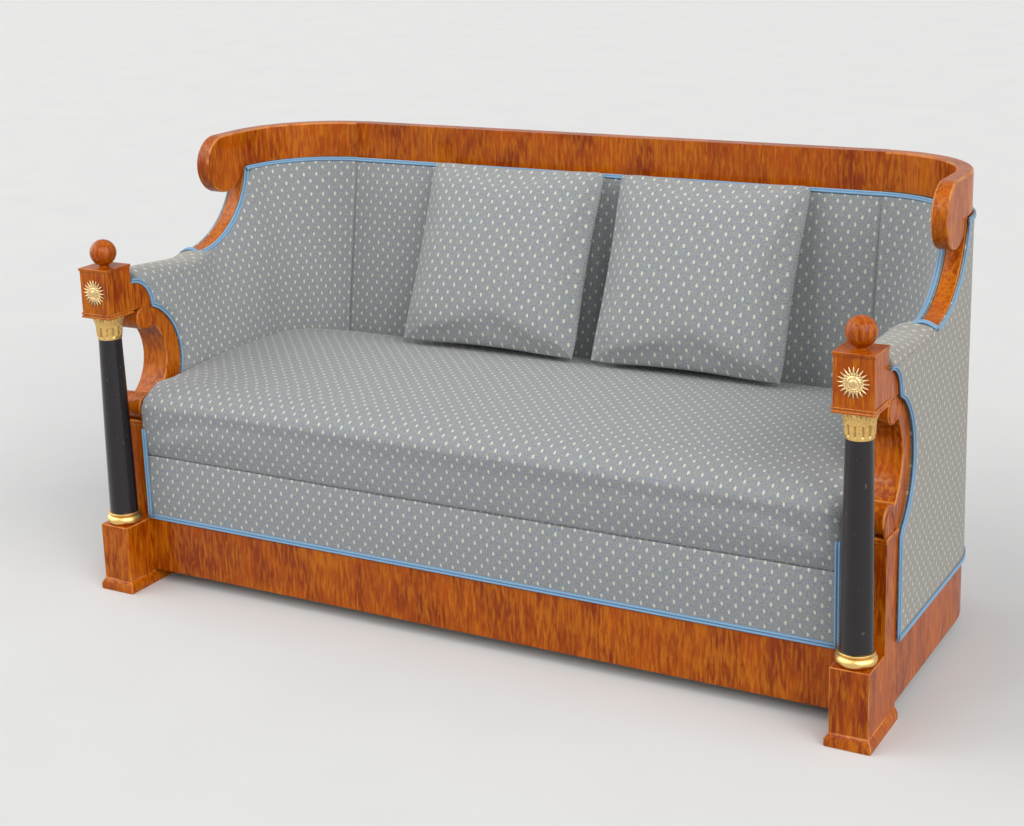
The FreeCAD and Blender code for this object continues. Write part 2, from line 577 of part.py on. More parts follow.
def make_crest():
    back = box("crest_body", ("-corner_x", "inner_y", "crest_base"),
               ("2 * corner_x", "crest_thickness", "crest_height"))
    node("crest_rail_back", cut("crest_drilled", back, dowel_holes))
    for side, sign in SIDES:
        low_x = "inner_x" if sign > 0 else "-outer_x"
        bend = rounded_corner(f"crest_bend_{side}", sign, "corner_radius", "inner_radius", "crest_base",
                              "crest_height")
        neck = box(f"crest_neck_{side}", (low_x, "volute_y", "crest_base"),
                   ("crest_thickness", "corner_y - volute_y", "crest_height"))
        volute = cylinder(f"volute_{side}", (low_x, "volute_y", "volute_z"), "volute_radius",
                          "crest_thickness", "x")
        whole = fuse(f"crest_end_body_{side}", bend, neck, volute)
        node(f"crest_end_{side}", cut(f"crest_end_drilled_{side}", whole, dowel_holes))


def make_arm_frame(side, sign):
    low_x = "inner_x" if sign > 0 else "-outer_x"
    board = box(f"wing_body_{side}", (low_x, "wing_tip_y", "wing_base"),
                ("crest_thickness", "wing_reach + wing_lap", "crest_base - wing_base"))
    hollow = cylinder(f"wing_hollow_{side}", (low_x, "wing_tip_y", "wing_tip_z + wing_radius"), "wing_radius",
                      "crest_thickness", "x")
    volute_room = cylinder(f"wing_room_{side}", (low_x, "volute_y", "volute_z"), "volute_radius + fit_gap",
                           "crest_thickness", "x")
    node(f"wing_board_{side}", cut(f"wing_{side}", board, fuse(f"wing_spaces_{side}", hollow, volute_room)))

    rail = box(f"arm_rail_body_{side}", (low_x, "block_back_y", "arm_rail_top - arm_rail_height"),
               ("crest_thickness", "arm_length", "arm_rail_height"))
    ear_room = cylinder(f"ear_room_{side}", (low_x, "block_back_y", "ear_base"), "ear_radius + fit_gap",
                        "crest_thickness", "x")
    grouped("arm_rails", cut(f"arm_rail_shaped_{side}", rail, ear_room))

    upright = box(f"rear_upright_body_{side}", (low_x, "corner_y - upright_width", "rail_top"),
                  ("crest_thickness", "upright_width", "wing_base - rail_top"))
    grouped("frame_uprights", upright)

    corner = doc.addObject("Part::Box", f"corner_upright_body_{side}")
    turn = 45 if sign > 0 else 135
    corner.Placement = FreeCAD.Placement(Vector(), FreeCAD.Rotation(Vector(0, 0, 1), turn))
    bind(corner, Length="corner_upright_thickness", Width="upright_width", Height="crest_base - rail_top")
    radial = "(inner_radius + soft_gap) * diagonal"
    across = "upright_width / 2 * diagonal"
    place(corner, (f"{sign} * (corner_x + {radial}) + {across}", f"corner_y + {radial} - {sign} * {across}",
                   "rail_top"))
    grouped("frame_uprights", corner)

    tack_x = "inner_x - tacking_rail_thickness" if sign > 0 else "-inner_x"
    tacking = box(f"arm_tacking_{side}", (tack_x, "post_back_y", "tacking_rail_base"),
                  ("tacking_rail_thickness", "corner_y - post_back_y", "tacking_rail_height"))
    grouped("tacking_rails", tacking)


def make_back_frame():
    for step in (-1, 0, 1):
        upright = box("back_upright", (f"{step} * back_upright_spacing - upright_width / 2", "inner_y",
                                       "rail_top"),
                      ("upright_width", "crest_thickness", "crest_base - rail_top"))
        grouped("frame_uprights", upright)
    tacking = box("back_tacking", ("-corner_x", "inner_y - tacking_rail_thickness", "tacking_rail_base"),
                  ("2 * corner_x", "tacking_rail_thickness", "tacking_rail_height"))
    grouped("tacking_rails", tacking)


def seat_plan(clear):
    """The outline of the seat from above: wide between the posts, narrower between the arms, round behind."""
    front_y = size.rail_front_y - 3 * size.seat_bulge
    wide = size.seat_front_half - clear
    narrow = size.seat_half_width - clear
    notch_y = size.post_back_y - clear
    back_y = size.seat_back_y - clear
    middle = Vector(size.corner_x, size.corner_y, 0)
    bend_x = narrow - middle.x
    bend_y = back_y - middle.y
    slant = min(bend_x, bend_y) * size.diagonal * size.seat_corner_fullness
    points = [Vector(wide, front_y, 0), Vector(wide, notch_y, 0), Vector(narrow, notch_y, 0),
              Vector(narrow, middle.y, 0)]
    bend_middle = middle + Vector(slant, slant, 0)
    bend_end = Vector(middle.x, back_y, 0)

    def flipped(point):
        return Vector(-point.x, point.y, point.z)

    right = [line(start, end) for start, end in zip(points, points[1:])]
    right.append(arc(points[-1], bend_middle, bend_end))
    left = [arc(flipped(bend_end), flipped(bend_middle), flipped(points[-1]))]
    left += [line(flipped(start), flipped(end)) for start, end in zip(points[::-1], points[-2::-1])]
    return right + [line(bend_end, flipped(bend_end))] + left + [line(flipped(points[0]), points[0])]


def seat_section(x, drop, bulge):
    """The seat pad cut from front to back: swelling front, rounded edge, crowned top."""
    front_y = size.rail_front_y - bulge * size.seat_heel_share
    lip_y = size.rail_front_y - bulge * size.seat_lip_share
    edge_y = lip_y + size.seat_edge_depth
    back_y = size.seat_back_y + size.soft_gap
    heel = Vector(x, front_y, size.seat_base)
    belly = Vector(x, size.rail_front_y - bulge, (size.seat_base + size.seat_lip_height) / 2)
    lip = Vector(x, lip_y, size.seat_lip_height - drop)
    edge = Vector(x, edge_y, size.seat_edge_height - drop)
    turn = Vector(x, lip_y + (1 - size.diagonal) * size.seat_edge_depth,
                  lip.z + size.diagonal * (edge.z - lip.z))
    crown = Vector(x, (edge_y + back_y) / 2, size.seat_crown_height - drop)
    rear = Vector(x, back_y, size.seat_back_height - drop)
    floor = Vector(x, back_y, size.seat_base)
    return Part.Wire([arc(heel, belly, lip), arc(lip, turn, edge), arc(edge, crown, rear), line(rear, floor),
                      line(floor, heel)])


def make_seat():
    half = size.seat_front_half
    sections = []
    for along in (-1, -0.5, 0, 0.5, 1):
        drop = size.seat_side_drop * along ** 2
        bulge = size.seat_bulge * (1 - size.seat_side_flatness * along ** 2)
        sections.append(seat_section(along * half, drop, bulge))
    pad = Part.makeLoft(sections, True)
    plan = prism(seat_plan(0), Vector(0, 0, size.overall_height))
    node("seat_pad", made("seat", pad.common(plan)))

    front = Vector(-half, size.rail_front_y, size.rail_top)
    belly = front + Vector(0, -size.border_bulge, (size.border_top - size.rail_top) / 2)
    top = Vector(-half, size.rail_front_y, size.border_top)
    back = Vector(0, size.border_thickness, 0)
    border = prism([arc(front, belly, top), line(top, top + back), line(top + back, front + back),
                    line(front + back, front)], Vector(2 * half, 0, 0))
    node("seat_border", made("border", border))

    behind_border = size.rail_front_y + size.border_thickness + size.soft_gap
    hessian_base = size.hessian_top - size.hessian_thickness
    layer = Part.makeBox(size.overall_width, size.overall_depth, size.hessian_thickness,
                         Vector(-size.overall_width / 2, behind_border, hessian_base))
    plan = prism(seat_plan(size.soft_gap), Vector(0, 0, size.overall_height))
    node("spring_hessian", made("hessian", layer.common(plan)))


def on_circle(radius, turns):
    angle = 2 * math.pi * turns
    return Vector(radius * math.cos(angle), radius * math.sin(angle), 0)


def spring_columns_x():
    count = int(size.spring_columns)
    return [(column - (count - 1) / 2) * size.spring_spacing for column in range(count)]


def spring_rows_y():
    count = int(size.spring_rows)
    first = size.rail_front_y + size.border_thickness + size.spring_width
    step = (size.seat_back_y - size.spring_width - first) / (count - 1)
    return [first + row * step for row in range(count)]


def make_springs():
    """Rows of coil springs that stand on the webbing and carry the hessian."""
    height = size.hessian_top - size.hessian_thickness - size.spring_base - size.spring_wire - 2 * size.fit_gap
    radius = (size.spring_width - size.spring_wire) / 2
    bends, sides = int(size.spring_bends), int(size.spring_sides)
    lengths = bends * int(size.spring_turns)
    bottom = Vector(0, 0, size.spring_base + size.spring_wire / 2 + size.fit_gap)
    points = [bottom + on_circle(radius, index / bends) + Vector(0, 0, height * index / lengths)
              for index in range(lengths + 1)]
    along = (points[1] - points[0]).normalize()
    outward = along.cross(Vector(0, 0, 1)).normalize()
    upward = outward.cross(along)
    corners = [on_circle(size.spring_wire / 2, index / sides) for index in range(sides + 1)]
    section = Part.makePolygon([points[0] + outward * corner.x + upward * corner.y for corner in corners])
    mitred = 1
    coil = Part.makePolygon(points).makePipeShell([section], True, False, mitred)
    coils = [coil.translated(Vector(x, y, 0)) for x in spring_columns_x() for y in spring_rows_y()]
    node("seat_springs", made("springs", Part.Compound(coils)))


def make_webbing():
    """Webbing strips nailed under the seat rails, long ones over short ones, and the dust cover below."""
    inside_x = size.outer_x - size.rail_thickness / 2
    front_y = size.rail_front_y + size.rail_thickness / 2
    back_y = size.back_y - size.rail_thickness / 2
    level = size.rail_clearance - size.webbing_thickness
    strips = []
    for y in spring_rows_y():
        strips.append(Part.makeBox(2 * inside_x, size.webbing_width, size.webbing_thickness,
                                   Vector(-inside_x, y - size.webbing_width / 2, level)))
    for x in spring_columns_x():
        strips.append(Part.makeBox(size.webbing_width, back_y - front_y, size.webbing_thickness,
                                   Vector(x - size.webbing_width / 2, front_y, level - size.webbing_thickness)))
    node("seat_webbing", made("webbing", Part.Compound(strips)))

    cloth_z = level - size.webbing_thickness - size.dust_cover_thickness
    cloth = Part.makeBox(2 * size.corner_x, back_y - front_y, size.dust_cover_thickness,
                         Vector(-size.corner_x, front_y, cloth_z))
    node("dust_cover", made("dust_cloth", cloth))


def pad_section(wall, inward, top, thicknesses):
    """A pad cut across: straight against the frame, with a front that swells from top to foot."""
    at_top, at_middle, at_foot = thicknesses
    foot = Vector(wall.x, wall.y, size.pad_base)
    head = Vector(wall.x, wall.y, top)
    middle = Vector(wall.x, wall.y, size.pad_base + size.pad_middle_share * (top - size.pad_base))
    edges = [line(foot, head), line(head, head + inward * at_top),
             arc(head + inward * at_top, middle + inward * at_middle, foot + inward * at_foot),
             line(foot + inward * at_foot, foot)]
    return Part.Wire(edges)


def back_pad_front():
    return size.pad_top_thickness, size.back_pad_middle, size.back_pad_thickness


def arm_pad_front():
    return size.pad_top_thickness, size.arm_pad_middle, size.arm_pad_thickness


def make_back_pad():
    top = size.crest_base - size.soft_gap
    wall_y = size.inner_y - size.soft_gap
    fuller = [thickness + size.back_pad_crown for thickness in back_pad_front()]
    half = size.corner_x - size.soft_gap / 2
    sections = [pad_section(Vector(-half, wall_y, 0), Vector(0, -1, 0), top, back_pad_front()),
                pad_section(Vector(0, wall_y, 0), Vector(0, -1, 0), top, [size.pad_top_thickness] + fuller[1:]),
                pad_section(Vector(half, wall_y, 0), Vector(0, -1, 0), top, back_pad_front())]
    node("back_pad", made("back_stuffing", Part.makeLoft(sections, True)))


def front_blocker(clear):
    """Everything in front of the arm's stuffing: post, C-scroll and ear, seen from the side."""
    foot, belly, head = scroll_back(clear)
    far_y = size.block_back_y - size.overall_depth
    low = Vector(0, size.post_back_y + clear, 0)
    ear_middle = Vector(0, size.block_back_y, size.ear_base)
    slant = (size.ear_radius + clear) * size.diagonal
    ear_foot = ear_middle + Vector(0, size.ear_radius + clear, 0)
    ear_round = ear_middle + Vector(0, slant, slant)
    ear_head = ear_middle + Vector(0, clear, size.ear_radius + clear)
    high = Vector(0, ear_head.y, size.overall_height)
    edges = [line(low, Vector(0, low.y, foot.z)), line(Vector(0, low.y, foot.z), foot), arc(foot, belly, head),
             line(head, ear_foot), arc(ear_foot, ear_round, ear_head), line(ear_head, high),
             line(high, Vector(0, far_y, high.z)), line(Vector(0, far_y, high.z), Vector(0, far_y, low.z)),
             line(Vector(0, far_y, low.z), low)]
    return prism(edges, Vector(size.overall_width, 0, 0))


def wing_edge(angle):
    """A point of the wing board's hollow edge: angle 0 at the tip."""
    return (size.wing_tip_y + size.wing_radius * math.sin(angle),
            size.wing_tip_z + size.wing_radius * (1 - math.cos(angle)))


def make_side_pad(side, sign):
    """The stuffing of one arm and the rounded corner behind it, under one cover."""
    wall_x = size.inner_x - size.soft_gap
    inward = Vector(-1, 0, 0)
    level_top = size.arm_rail_top - size.fit_gap
    shoulder = (size.arm_pad_shoulder, size.arm_pad_middle, size.arm_pad_thickness)
    sections = [pad_section(Vector(wall_x, size.block_back_y, 0), inward, level_top, shoulder),
                pad_section(Vector(wall_x, size.wing_tip_y, 0), inward, level_top, shoulder)]
    last_angle = math.asin(size.wing_reach / size.wing_radius)
    steps = 6
    for step in range(1, steps + 1):
        y, top = wing_edge(last_angle * step / steps)
        sections.append(pad_section(Vector(wall_x, y, 0), inward, top - size.soft_gap, arm_pad_front()))
    sections.append(pad_section(Vector(wall_x, size.corner_y, 0), inward, top - size.soft_gap, arm_pad_front()))
    arm = Part.makeLoft(sections, True, True)

    turns = 6
    corner_sections = []
    for turn in range(turns + 1):
        angle = math.pi / 2 * turn / turns
        share = math.sin(angle) ** 2
        outward = Vector(math.cos(angle), math.sin(angle), 0)
        wall = Vector(size.corner_x, size.corner_y, 0) + outward * (size.inner_radius - size.soft_gap)
        blend = [near * (1 - share) + far * share for near, far in zip(arm_pad_front(), back_pad_front())]
        corner_sections.append(pad_section(wall, outward * -1, size.crest_base - size.soft_gap, blend))
    corner = Part.makeLoft(corner_sections, True)
    pad = arm.fuse(corner).cut(front_blocker(size.soft_gap)).removeSplitter()
    node(f"side_pad_{side}", made(f"side_stuffing_{side}", on_side(pad, sign)))


def arm_top_section(y, rise):
    """The arm top cut across the arm: flat on the rail, rounded over."""
    low = size.arm_rail_top + size.fit_gap
    inner = size.inner_x - size.soft_gap - size.arm_pad_shoulder
    outer = size.outer_x + size.cover_thickness
    foot_in = Vector(inner, y, low)
    foot_out = Vector(outer, y, low)
    edge_in = Vector(inner, y, low + size.arm_top_edge)
    edge_out = Vector(outer, y, low + size.arm_top_edge)
    crown = Vector((inner + outer) / 2, y, low + rise)
    return Part.Wire([line(foot_in, foot_out), line(foot_out, edge_out), arc(edge_out, crown, edge_in),
                      line(edge_in, foot_in)])


def make_arm_top(side, sign):
    front_y = size.block_back_y + size.soft_gap
    back_y = size.wing_tip_y - size.fit_gap
    tip_rise = size.wing_tip_rise
    sections = [arm_top_section(front_y, size.arm_top_rise), arm_top_section(back_y, tip_rise)]
    top = Part.makeLoft(sections, True).cut(front_blocker(size.soft_gap))
    node(f"arm_top_{side}", made(f"arm_top_stuffing_{side}", on_side(top, sign)))


def make_outer_covers():
    for side, sign in SIDES:
        sheet_run = Vector(size.cover_thickness, 0, 0)
        tip = Vector(size.outer_x, size.wing_tip_y, size.wing_tip_z)
        last_angle = math.asin(size.wing_reach / size.wing_radius)
        hollow_middle = Vector(size.outer_x, *wing_edge(last_angle / 2))
        hollow_end = Vector(size.outer_x, *wing_edge(last_angle))
        corner_head = Vector(size.outer_x, size.corner_y, size.crest_base)
        corner_foot = Vector(size.outer_x, size.corner_y, size.rail_top)
        front_foot = Vector(size.outer_x, size.block_back_y, size.rail_top)
        front_top = Vector(size.outer_x, size.block_back_y, size.arm_rail_top)
        tip_foot = Vector(size.outer_x, size.wing_tip_y, size.arm_rail_top)
        flat = prism([line(front_foot, corner_foot), line(corner_foot, corner_head),
                      line(corner_head, hollow_end), arc(hollow_end, hollow_middle, tip), line(tip, tip_foot),
                      line(tip_foot, front_top), line(front_top, front_foot)], sheet_run)
        axis_foot = Vector(size.corner_x, size.corner_y, size.rail_top)
        height = size.crest_base - size.rail_top
        upward = Vector(0, 0, 1)
        bend = Part.makeCylinder(size.corner_radius + size.cover_thickness, height, axis_foot, upward, 90)
        bend = bend.cut(Part.makeCylinder(size.corner_radius, height, axis_foot, upward))
        cover = flat.fuse(bend).cut(front_blocker(size.soft_gap))
        node(f"outer_side_cover_{side}", made(f"side_cover_{side}", on_side(cover, sign)))
    back = box("back_cover", ("-corner_x", "back_y", "rail_top"),
               ("2 * corner_x", "cover_thickness", "crest_base - rail_top"))
    node("outer_back_cover", back)


def cushion_section(along):
    """A loose cushion cut from foot to head, at a share of its half width: crowned, thin at its sewn edge."""
    fullness = 1 - along * along
    half_edge = size.cushion_edge / 2
    half_height = size.cushion_height / 2 - size.cushion_draw * fullness
    side_swell = size.cushion_side_swell
    crown = side_swell + (1 - side_swell) * fullness ** size.cushion_fullness
    swell = half_edge + (size.cushion_thickness / 2 - half_edge) * crown
    x = along * size.cushion_width / 2
    corners = [Vector(x, -half_edge, -half_height), Vector(x, -half_edge, half_height),
               Vector(x, half_edge, half_height), Vector(x, half_edge, -half_height)]
    return Part.Wire([arc(corners[0], Vector(x, -swell, 0), corners[1]), line(corners[1], corners[2]),
                      arc(corners[2], Vector(x, swell, 0), corners[3]), line(corners[3], corners[0])])


def make_cushions():
    """Two loose cushions that lean against the back pad."""
    cushion = Part.makeLoft([cushion_section(along) for along in (-1, -0.55, 0, 0.55, 1)], True)
    lean = math.radians(size.cushion_lean)
    half_height = size.cushion_height / 2
    half_edge = size.cushion_edge / 2
    low_z = size.seat_crown_height + size.cushion_clearance
    centre_z = low_z + half_height * math.cos(lean) + half_edge * math.sin(lean)
    pad_middle_y = size.inner_y - size.soft_gap - size.back_pad_middle - size.back_pad_crown
    centre_y = pad_middle_y - size.cushion_stand_off - size.cushion_thickness / 2 * math.cos(lean)
    for side, x in (("left", size.cushion_left_x), ("right", size.cushion_right_x)):
        piece = made(f"cushion_{side}", cushion.copy())
        piece.Placement = FreeCAD.Placement(Vector(x, centre_y, centre_z),
                                            FreeCAD.Rotation(Vector(1, 0, 0), -size.cushion_lean))
        node(f"loose_cushion_{side}", piece)


make_seat_frame()
for side, sign in SIDES:
    make_feet(side, sign)
    make_post(side, sign)
    make_column(side, sign)
    make_arm_block(side, sign)
    make_rosette(side, sign)
    make_scroll(side, sign)
    make_arm_frame(side, sign)
    make_side_pad(side, sign)
    make_arm_top(side, sign)
make_crest()
make_back_frame()
make_dowels()
make_webbing()
make_springs()
make_seat()
make_back_pad()
make_outer_covers()
make_cushions()
doc.recompute()

failed = [piece.Name for piece in doc.Objects if "Invalid" in piece.State or "Error" in piece.State]
for label, piece in nodes.items():
    if piece.Shape.isNull() or not piece.Shape.isValid() or not piece.Shape.Solids:
        failed.append(label)
if failed:
    raise RuntimeError("these pieces failed: " + ", ".join(failed))

os.makedirs("parts", exist_ok=True)
for label, piece in nodes.items():
    piece.Shape.exportStep(f"parts/{label}.step")
print(len(nodes), "nodes")
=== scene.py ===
import math

import bmesh
import bpy
from mathutils import Matrix, Vector
from mathutils.bvhtree import BVHTree


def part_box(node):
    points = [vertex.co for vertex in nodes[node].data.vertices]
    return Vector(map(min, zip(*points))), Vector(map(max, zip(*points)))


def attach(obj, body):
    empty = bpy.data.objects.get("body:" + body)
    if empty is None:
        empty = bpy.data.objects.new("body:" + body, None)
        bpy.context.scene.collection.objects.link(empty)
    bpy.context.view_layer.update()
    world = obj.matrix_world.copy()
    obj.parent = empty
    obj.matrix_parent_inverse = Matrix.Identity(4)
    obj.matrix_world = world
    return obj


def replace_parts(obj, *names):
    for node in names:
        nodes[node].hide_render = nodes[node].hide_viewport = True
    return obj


# A sofa with columned arms and a rounded back, dressed over its frame.
# Metres. X runs along the seat, Y from the front to the back, Z up from the floor.

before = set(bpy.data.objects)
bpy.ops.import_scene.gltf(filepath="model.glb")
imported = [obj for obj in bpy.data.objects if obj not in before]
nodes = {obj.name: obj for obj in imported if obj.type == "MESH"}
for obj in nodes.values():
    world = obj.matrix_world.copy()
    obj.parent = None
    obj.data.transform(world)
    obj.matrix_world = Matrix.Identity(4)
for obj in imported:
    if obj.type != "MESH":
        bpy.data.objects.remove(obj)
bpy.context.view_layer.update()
SIDES = (("left", -1), ("right", 1))

# Places read from the frame
RAIL_FRONT_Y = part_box("front_rail")[0].y
RAIL_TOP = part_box("front_rail")[1].z
POST_LOW, POST_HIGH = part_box("corner_post_right")
POST_INNER_X = POST_LOW.x
POST_BACK_Y = POST_HIGH.y
POST_TOP = POST_HIGH.z
CAP_LOW, CAP_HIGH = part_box("cap_plate_right")
COLUMN_X = (CAP_LOW.x + CAP_HIGH.x) / 2
COLUMN_Y = (CAP_LOW.y + CAP_HIGH.y) / 2
BLOCK_LOW, BLOCK_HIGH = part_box("arm_block_right")
BLOCK_BACK_Y = 2 * COLUMN_Y - BLOCK_LOW.y
EAR_BASE = BLOCK_LOW.z
EAR_RADIUS = BLOCK_HIGH.y - BLOCK_BACK_Y
COVER_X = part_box("outer_side_cover_right")[1].x
CORNER_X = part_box("crest_rail_back")[1].x
CREST_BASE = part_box("crest_rail_back")[0].z
WALL_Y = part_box("back_pad")[1].y
WALL_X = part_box("side_pad_right")[1].x
PAD_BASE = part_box("back_pad")[0].z
WING_TIP_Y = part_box("wing_board_right")[0].y
CORNER_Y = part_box("wing_board_right")[1].y
ARM_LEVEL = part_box("arm_top_right")[0].z
SEAT_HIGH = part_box("seat_pad")[1]
BORDER_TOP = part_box("seat_border")[1].z
SCROLL_LOW, SCROLL_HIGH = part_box("c_scroll_right")

# Directions, seen from the right-hand half
FORWARD = Vector((0, -1, 0))
BACKWARD = Vector((0, 1, 0))
INWARD = Vector((-1, 0, 0))
OUTWARD = Vector((1, 0, 0))
UP = Vector((0, 0, 1))

# Sizes of the dressing
WELD = 1e-5
GAP = 0.0015
COVER_THICKNESS = 0.005
SHEET_THICKNESS = 0.0025
JUTE_THICKNESS = 0.001
WEBBING_THICKNESS = 0.0012
PIN_RADIUS = 0.013
WING_TIP_Z = ARM_LEVEL + 0.0127
WING_REACH = 0.2
WING_HEIGHT = CREST_BASE - WING_TIP_Z
WING_RADIUS = (WING_REACH ** 2 + WING_HEIGHT ** 2) / (2 * WING_HEIGHT)
GIMP_WIDTH = 0.0125
OUTER_GIMP_WIDTH = 0.0098
GIMP_LAP = 0.0025
GIMP_CLEAR = 0.0005
GIMP_RISE = 0.003
GIMP_SEAT = 0.0006
GIMP_THICKNESS = 0.0016
INNER_LEAN, OUTER_LEAN = 0.35, 0.6
DOT_PITCH = (0.0285, 0.032)
DOT_HALF = (0.0025, 0.0045)
CUSHION_SIZE = (0.448, 0.43)
CUSHION_LEAN = math.radians(24)
CUSHION_CLEAR = 0.002

# How far the stuffing may push each cover out, and its pressure
SIDE_PUSH = (0.004, 3.0)
BACK_PUSH = (0.004, 3.0)
SEAT_PUSH = (0.006, 3.0)
BORDER_PUSH = (0.004, 2.0)
CUSHION_PUSH = (0.014, 4.0)


def tone(red, green, blue):
    """A colour as a painter's chart gives it, 0 to 255, for the shader."""
    def light(part):
        share = part / 255
        return share / 12.92 if share <= 0.04045 else ((share + 0.055) / 1.055) ** 2.4
    return (light(red), light(green), light(blue), 1)


def smooth_step(low, high, value):
    share = min(max((value - low) / (high - low), 0), 1)
    return share * share * (3 - 2 * share)


def between(start, end, share):
    return start + (end - start) * share


def arch(share):
    """A smooth rise from 0 to 1 in the middle, and back."""
    return math.sin(math.pi * share)


def round_over(distance, reach):
    """How full a rounded edge is at a distance from it: 0 at the edge, 1 from the reach on."""
    share = min(max(distance / reach, 0), 1)
    return math.sqrt(1 - (1 - share) ** 2)


# Finishes

class Value:
    """A number or colour that changes over a surface."""

    def __init__(self, maker, socket):
        self.maker = maker
        self.socket = socket

    def __add__(self, other):
        return self.maker.math("ADD", self, other)

    def __sub__(self, other):
        return self.maker.math("SUBTRACT", self, other)

    def __rsub__(self, other):
        return self.maker.math("SUBTRACT", other, self)

    def __mul__(self, other):
        return self.maker.math("MULTIPLY", self, other)

    def __truediv__(self, other):
        return self.maker.math("DIVIDE", self, other)

    def __rtruediv__(self, other):
        return self.maker.math("DIVIDE", other, self)

    __radd__ = __add__
    __rmul__ = __mul__


def socket_name(word):
    """The shader's own name of a socket that is written in small letters."""
    return word.replace("_", " ").title().replace("Ior", "IOR")


class Nodes:
    """The nodes of a material or of the world."""

    def __init__(self, tree):
        self.tree = tree

    def feed(self, node, values):
        for key, value in values.items():
            if isinstance(value, Value):
                self.tree.links.new(value.socket, node.inputs[key])
            else:
                node.inputs[key].default_value = value

    def node(self, kind, settings=None, values=None, output=0):
        made = self.tree.nodes.new(kind)
        for key, setting in (settings or {}).items():
            setattr(made, key, setting)
        self.feed(made, values or {})
        return Value(self, made.outputs[output])

    def math(self, operation, first, second=0.0):
        return self.node("ShaderNodeMath", {"operation": operation}, {0: first, 1: second})

    def mix(self, share, first, second):
        return self.node("ShaderNodeMix", {"data_type": "RGBA"}, {0: share, 6: first, 7: second}, output=2)

    def seen(self):
        """1 for rays that show the surroundings, also in a reflection, and 0 for those that give light."""
        straight_on, mirrored, through = [self.node("ShaderNodeLightPath", output=f"Is {kind} Ray")
                                          for kind in ("Camera", "Glossy", "Transmission")]
        return self.math("MAXIMUM", self.math("MAXIMUM", straight_on, mirrored), through)


class Finish(Nodes):
    """A material."""

    def __init__(self, name, **constants):
        self.material = bpy.data.materials.new(name)
        self.material.use_nodes = True
        super().__init__(self.material.node_tree)
        self.shader = self.tree.nodes["Principled BSDF"]
        self.surface(**constants)

    def ease(self, value, low, high):
        return self.node("ShaderNodeMapRange", {"interpolation_type": "SMOOTHSTEP"},
                         {"Value": value, "From Min": low, "From Max": high})

    def mark(self, name, output="Vector"):
        """What the corners of a mesh carry under a name."""
        return self.node("ShaderNodeAttribute", {"attribute_name": name}, output=output)

    def axes(self, vector):
        """The three parts of a vector."""
        parts = self.node("ShaderNodeSeparateXYZ", None, {0: vector}).socket.node
        return [Value(self, part) for part in parts.outputs]

    def place(self, stretch=(1, 1, 1)):
        coordinates = self.node("ShaderNodeTexCoord", output="Object")
        return self.node("ShaderNodeMapping", None, {"Vector": coordinates, "Scale": stretch})

    def noise(self, place, scale, detail=2.0, distortion=0.0):
        return self.node("ShaderNodeTexNoise", None,
                         {"Vector": place, "Scale": scale, "Detail": detail, "Distortion": distortion})

    def bump(self, height, distance, strength=1.0):
        return self.node("ShaderNodeBump", None,
                         {"Height": height, "Distance": distance, "Strength": strength})

    def surface(self, **values):
        self.feed(self.shader, {socket_name(key): value for key, value in values.items()})
        return self


def veneer_finish(name, dark, middle, light, wear_and_highlight=0.0):
    """Polished veneer with upright grain: soft flames, fine streaks and darker pores, with broad paler golden
    patches as painted sheen; for edges, pale patches that are partly wear and partly painted highlight.
    """
    wood = Finish(name, coat_weight=0.22, coat_roughness=0.08, specular_ior_level=0.12)
    flame = wood.ease(wood.noise(wood.place((1, 1, 0.4)), 13, 3, 0.8), 0.34, 0.66)
    curl = wood.noise(wood.place((1, 1, 0.16)), 150, 5, 0.5)
    streak = wood.noise(wood.place((1, 1, 0.05)), 420, 4)
    pores = wood.ease(wood.noise(wood.place((1, 1, 0.12)), 800, 2), 0.54, 0.7)
    # Painted sheen: broad golden patches that lighten the wood, standing in for the figure's sheen.
    painted_golden_sheen = wood.ease(wood.noise(wood.place((1, 1, 0.8)), 5, 2, 0.6), 0.45, 0.7)
    colour = wood.mix(flame, dark, middle)
    colour = wood.mix(wood.ease(curl + painted_golden_sheen * 0.12, 0.4, 0.72) * 0.6, colour, light)
    colour = wood.mix(wood.ease(streak, 0.48, 0.72) * 0.45, colour, dark)
    colour = wood.mix(pores * 0.35, colour, tone(98, 36, 2))
    # Pale patches on the edges: partly wear, partly painted highlight.
    if wear_and_highlight:
        edge_wear_and_highlight = wood.ease(wood.noise(wood.place(), 26, 3), 0.35, 0.6) * wear_and_highlight
        colour = wood.mix(edge_wear_and_highlight, colour, tone(214, 150, 84))
    grain = wood.bump(1 - pores, 0.0002, 0.4)
    return wood.surface(base_color=colour, roughness=streak * 0.2 + 0.26, normal=grain)


def ebonised_finish():
    """Black polish over turned wood, with faint grain and a few scuffs."""
    wood = Finish("ebonised_polish", coat_weight=0.3, coat_roughness=0.1, specular_ior_level=0.35)
    streak = wood.noise(wood.place((1, 1, 0.04)), 240, 3)
    scuffs = wood.ease(wood.noise(wood.place((1, 1, 0.35)), 210, 4), 0.66, 0.76)
    colour = wood.mix(streak, tone(10, 7, 11), tone(28, 20, 26))
    colour = wood.mix(scuffs * 0.45, colour, tone(120, 92, 74))
    grain = wood.bump(streak, 0.0002, 0.3)
    return wood.surface(base_color=colour, roughness=scuffs * 0.3 + 0.22, normal=grain)


def gilt_finish(name, bright, brown):
    """Stamped gilt brass, bright on top and brown where the polish has not reached."""
    brass = Finish(name)
    hollow = brass.mark("hollow", "Fac")
    cloudy = brass.noise(brass.place(), 55, 4)
    fine = brass.noise(brass.place(), 520, 3)
    tarnish = brass.ease(cloudy * 0.35 + fine * 0.35 + hollow * 0.3, 0.42, 0.68)
    colour = brass.mix(tarnish * 0.8, bright, brown)
    return brass.surface(base_color=colour, metallic=1.0 - tarnish * 0.35, roughness=tarnish * 0.25 + 0.32,
                         normal=brass.bump(fine, 0.0004, 0.5))


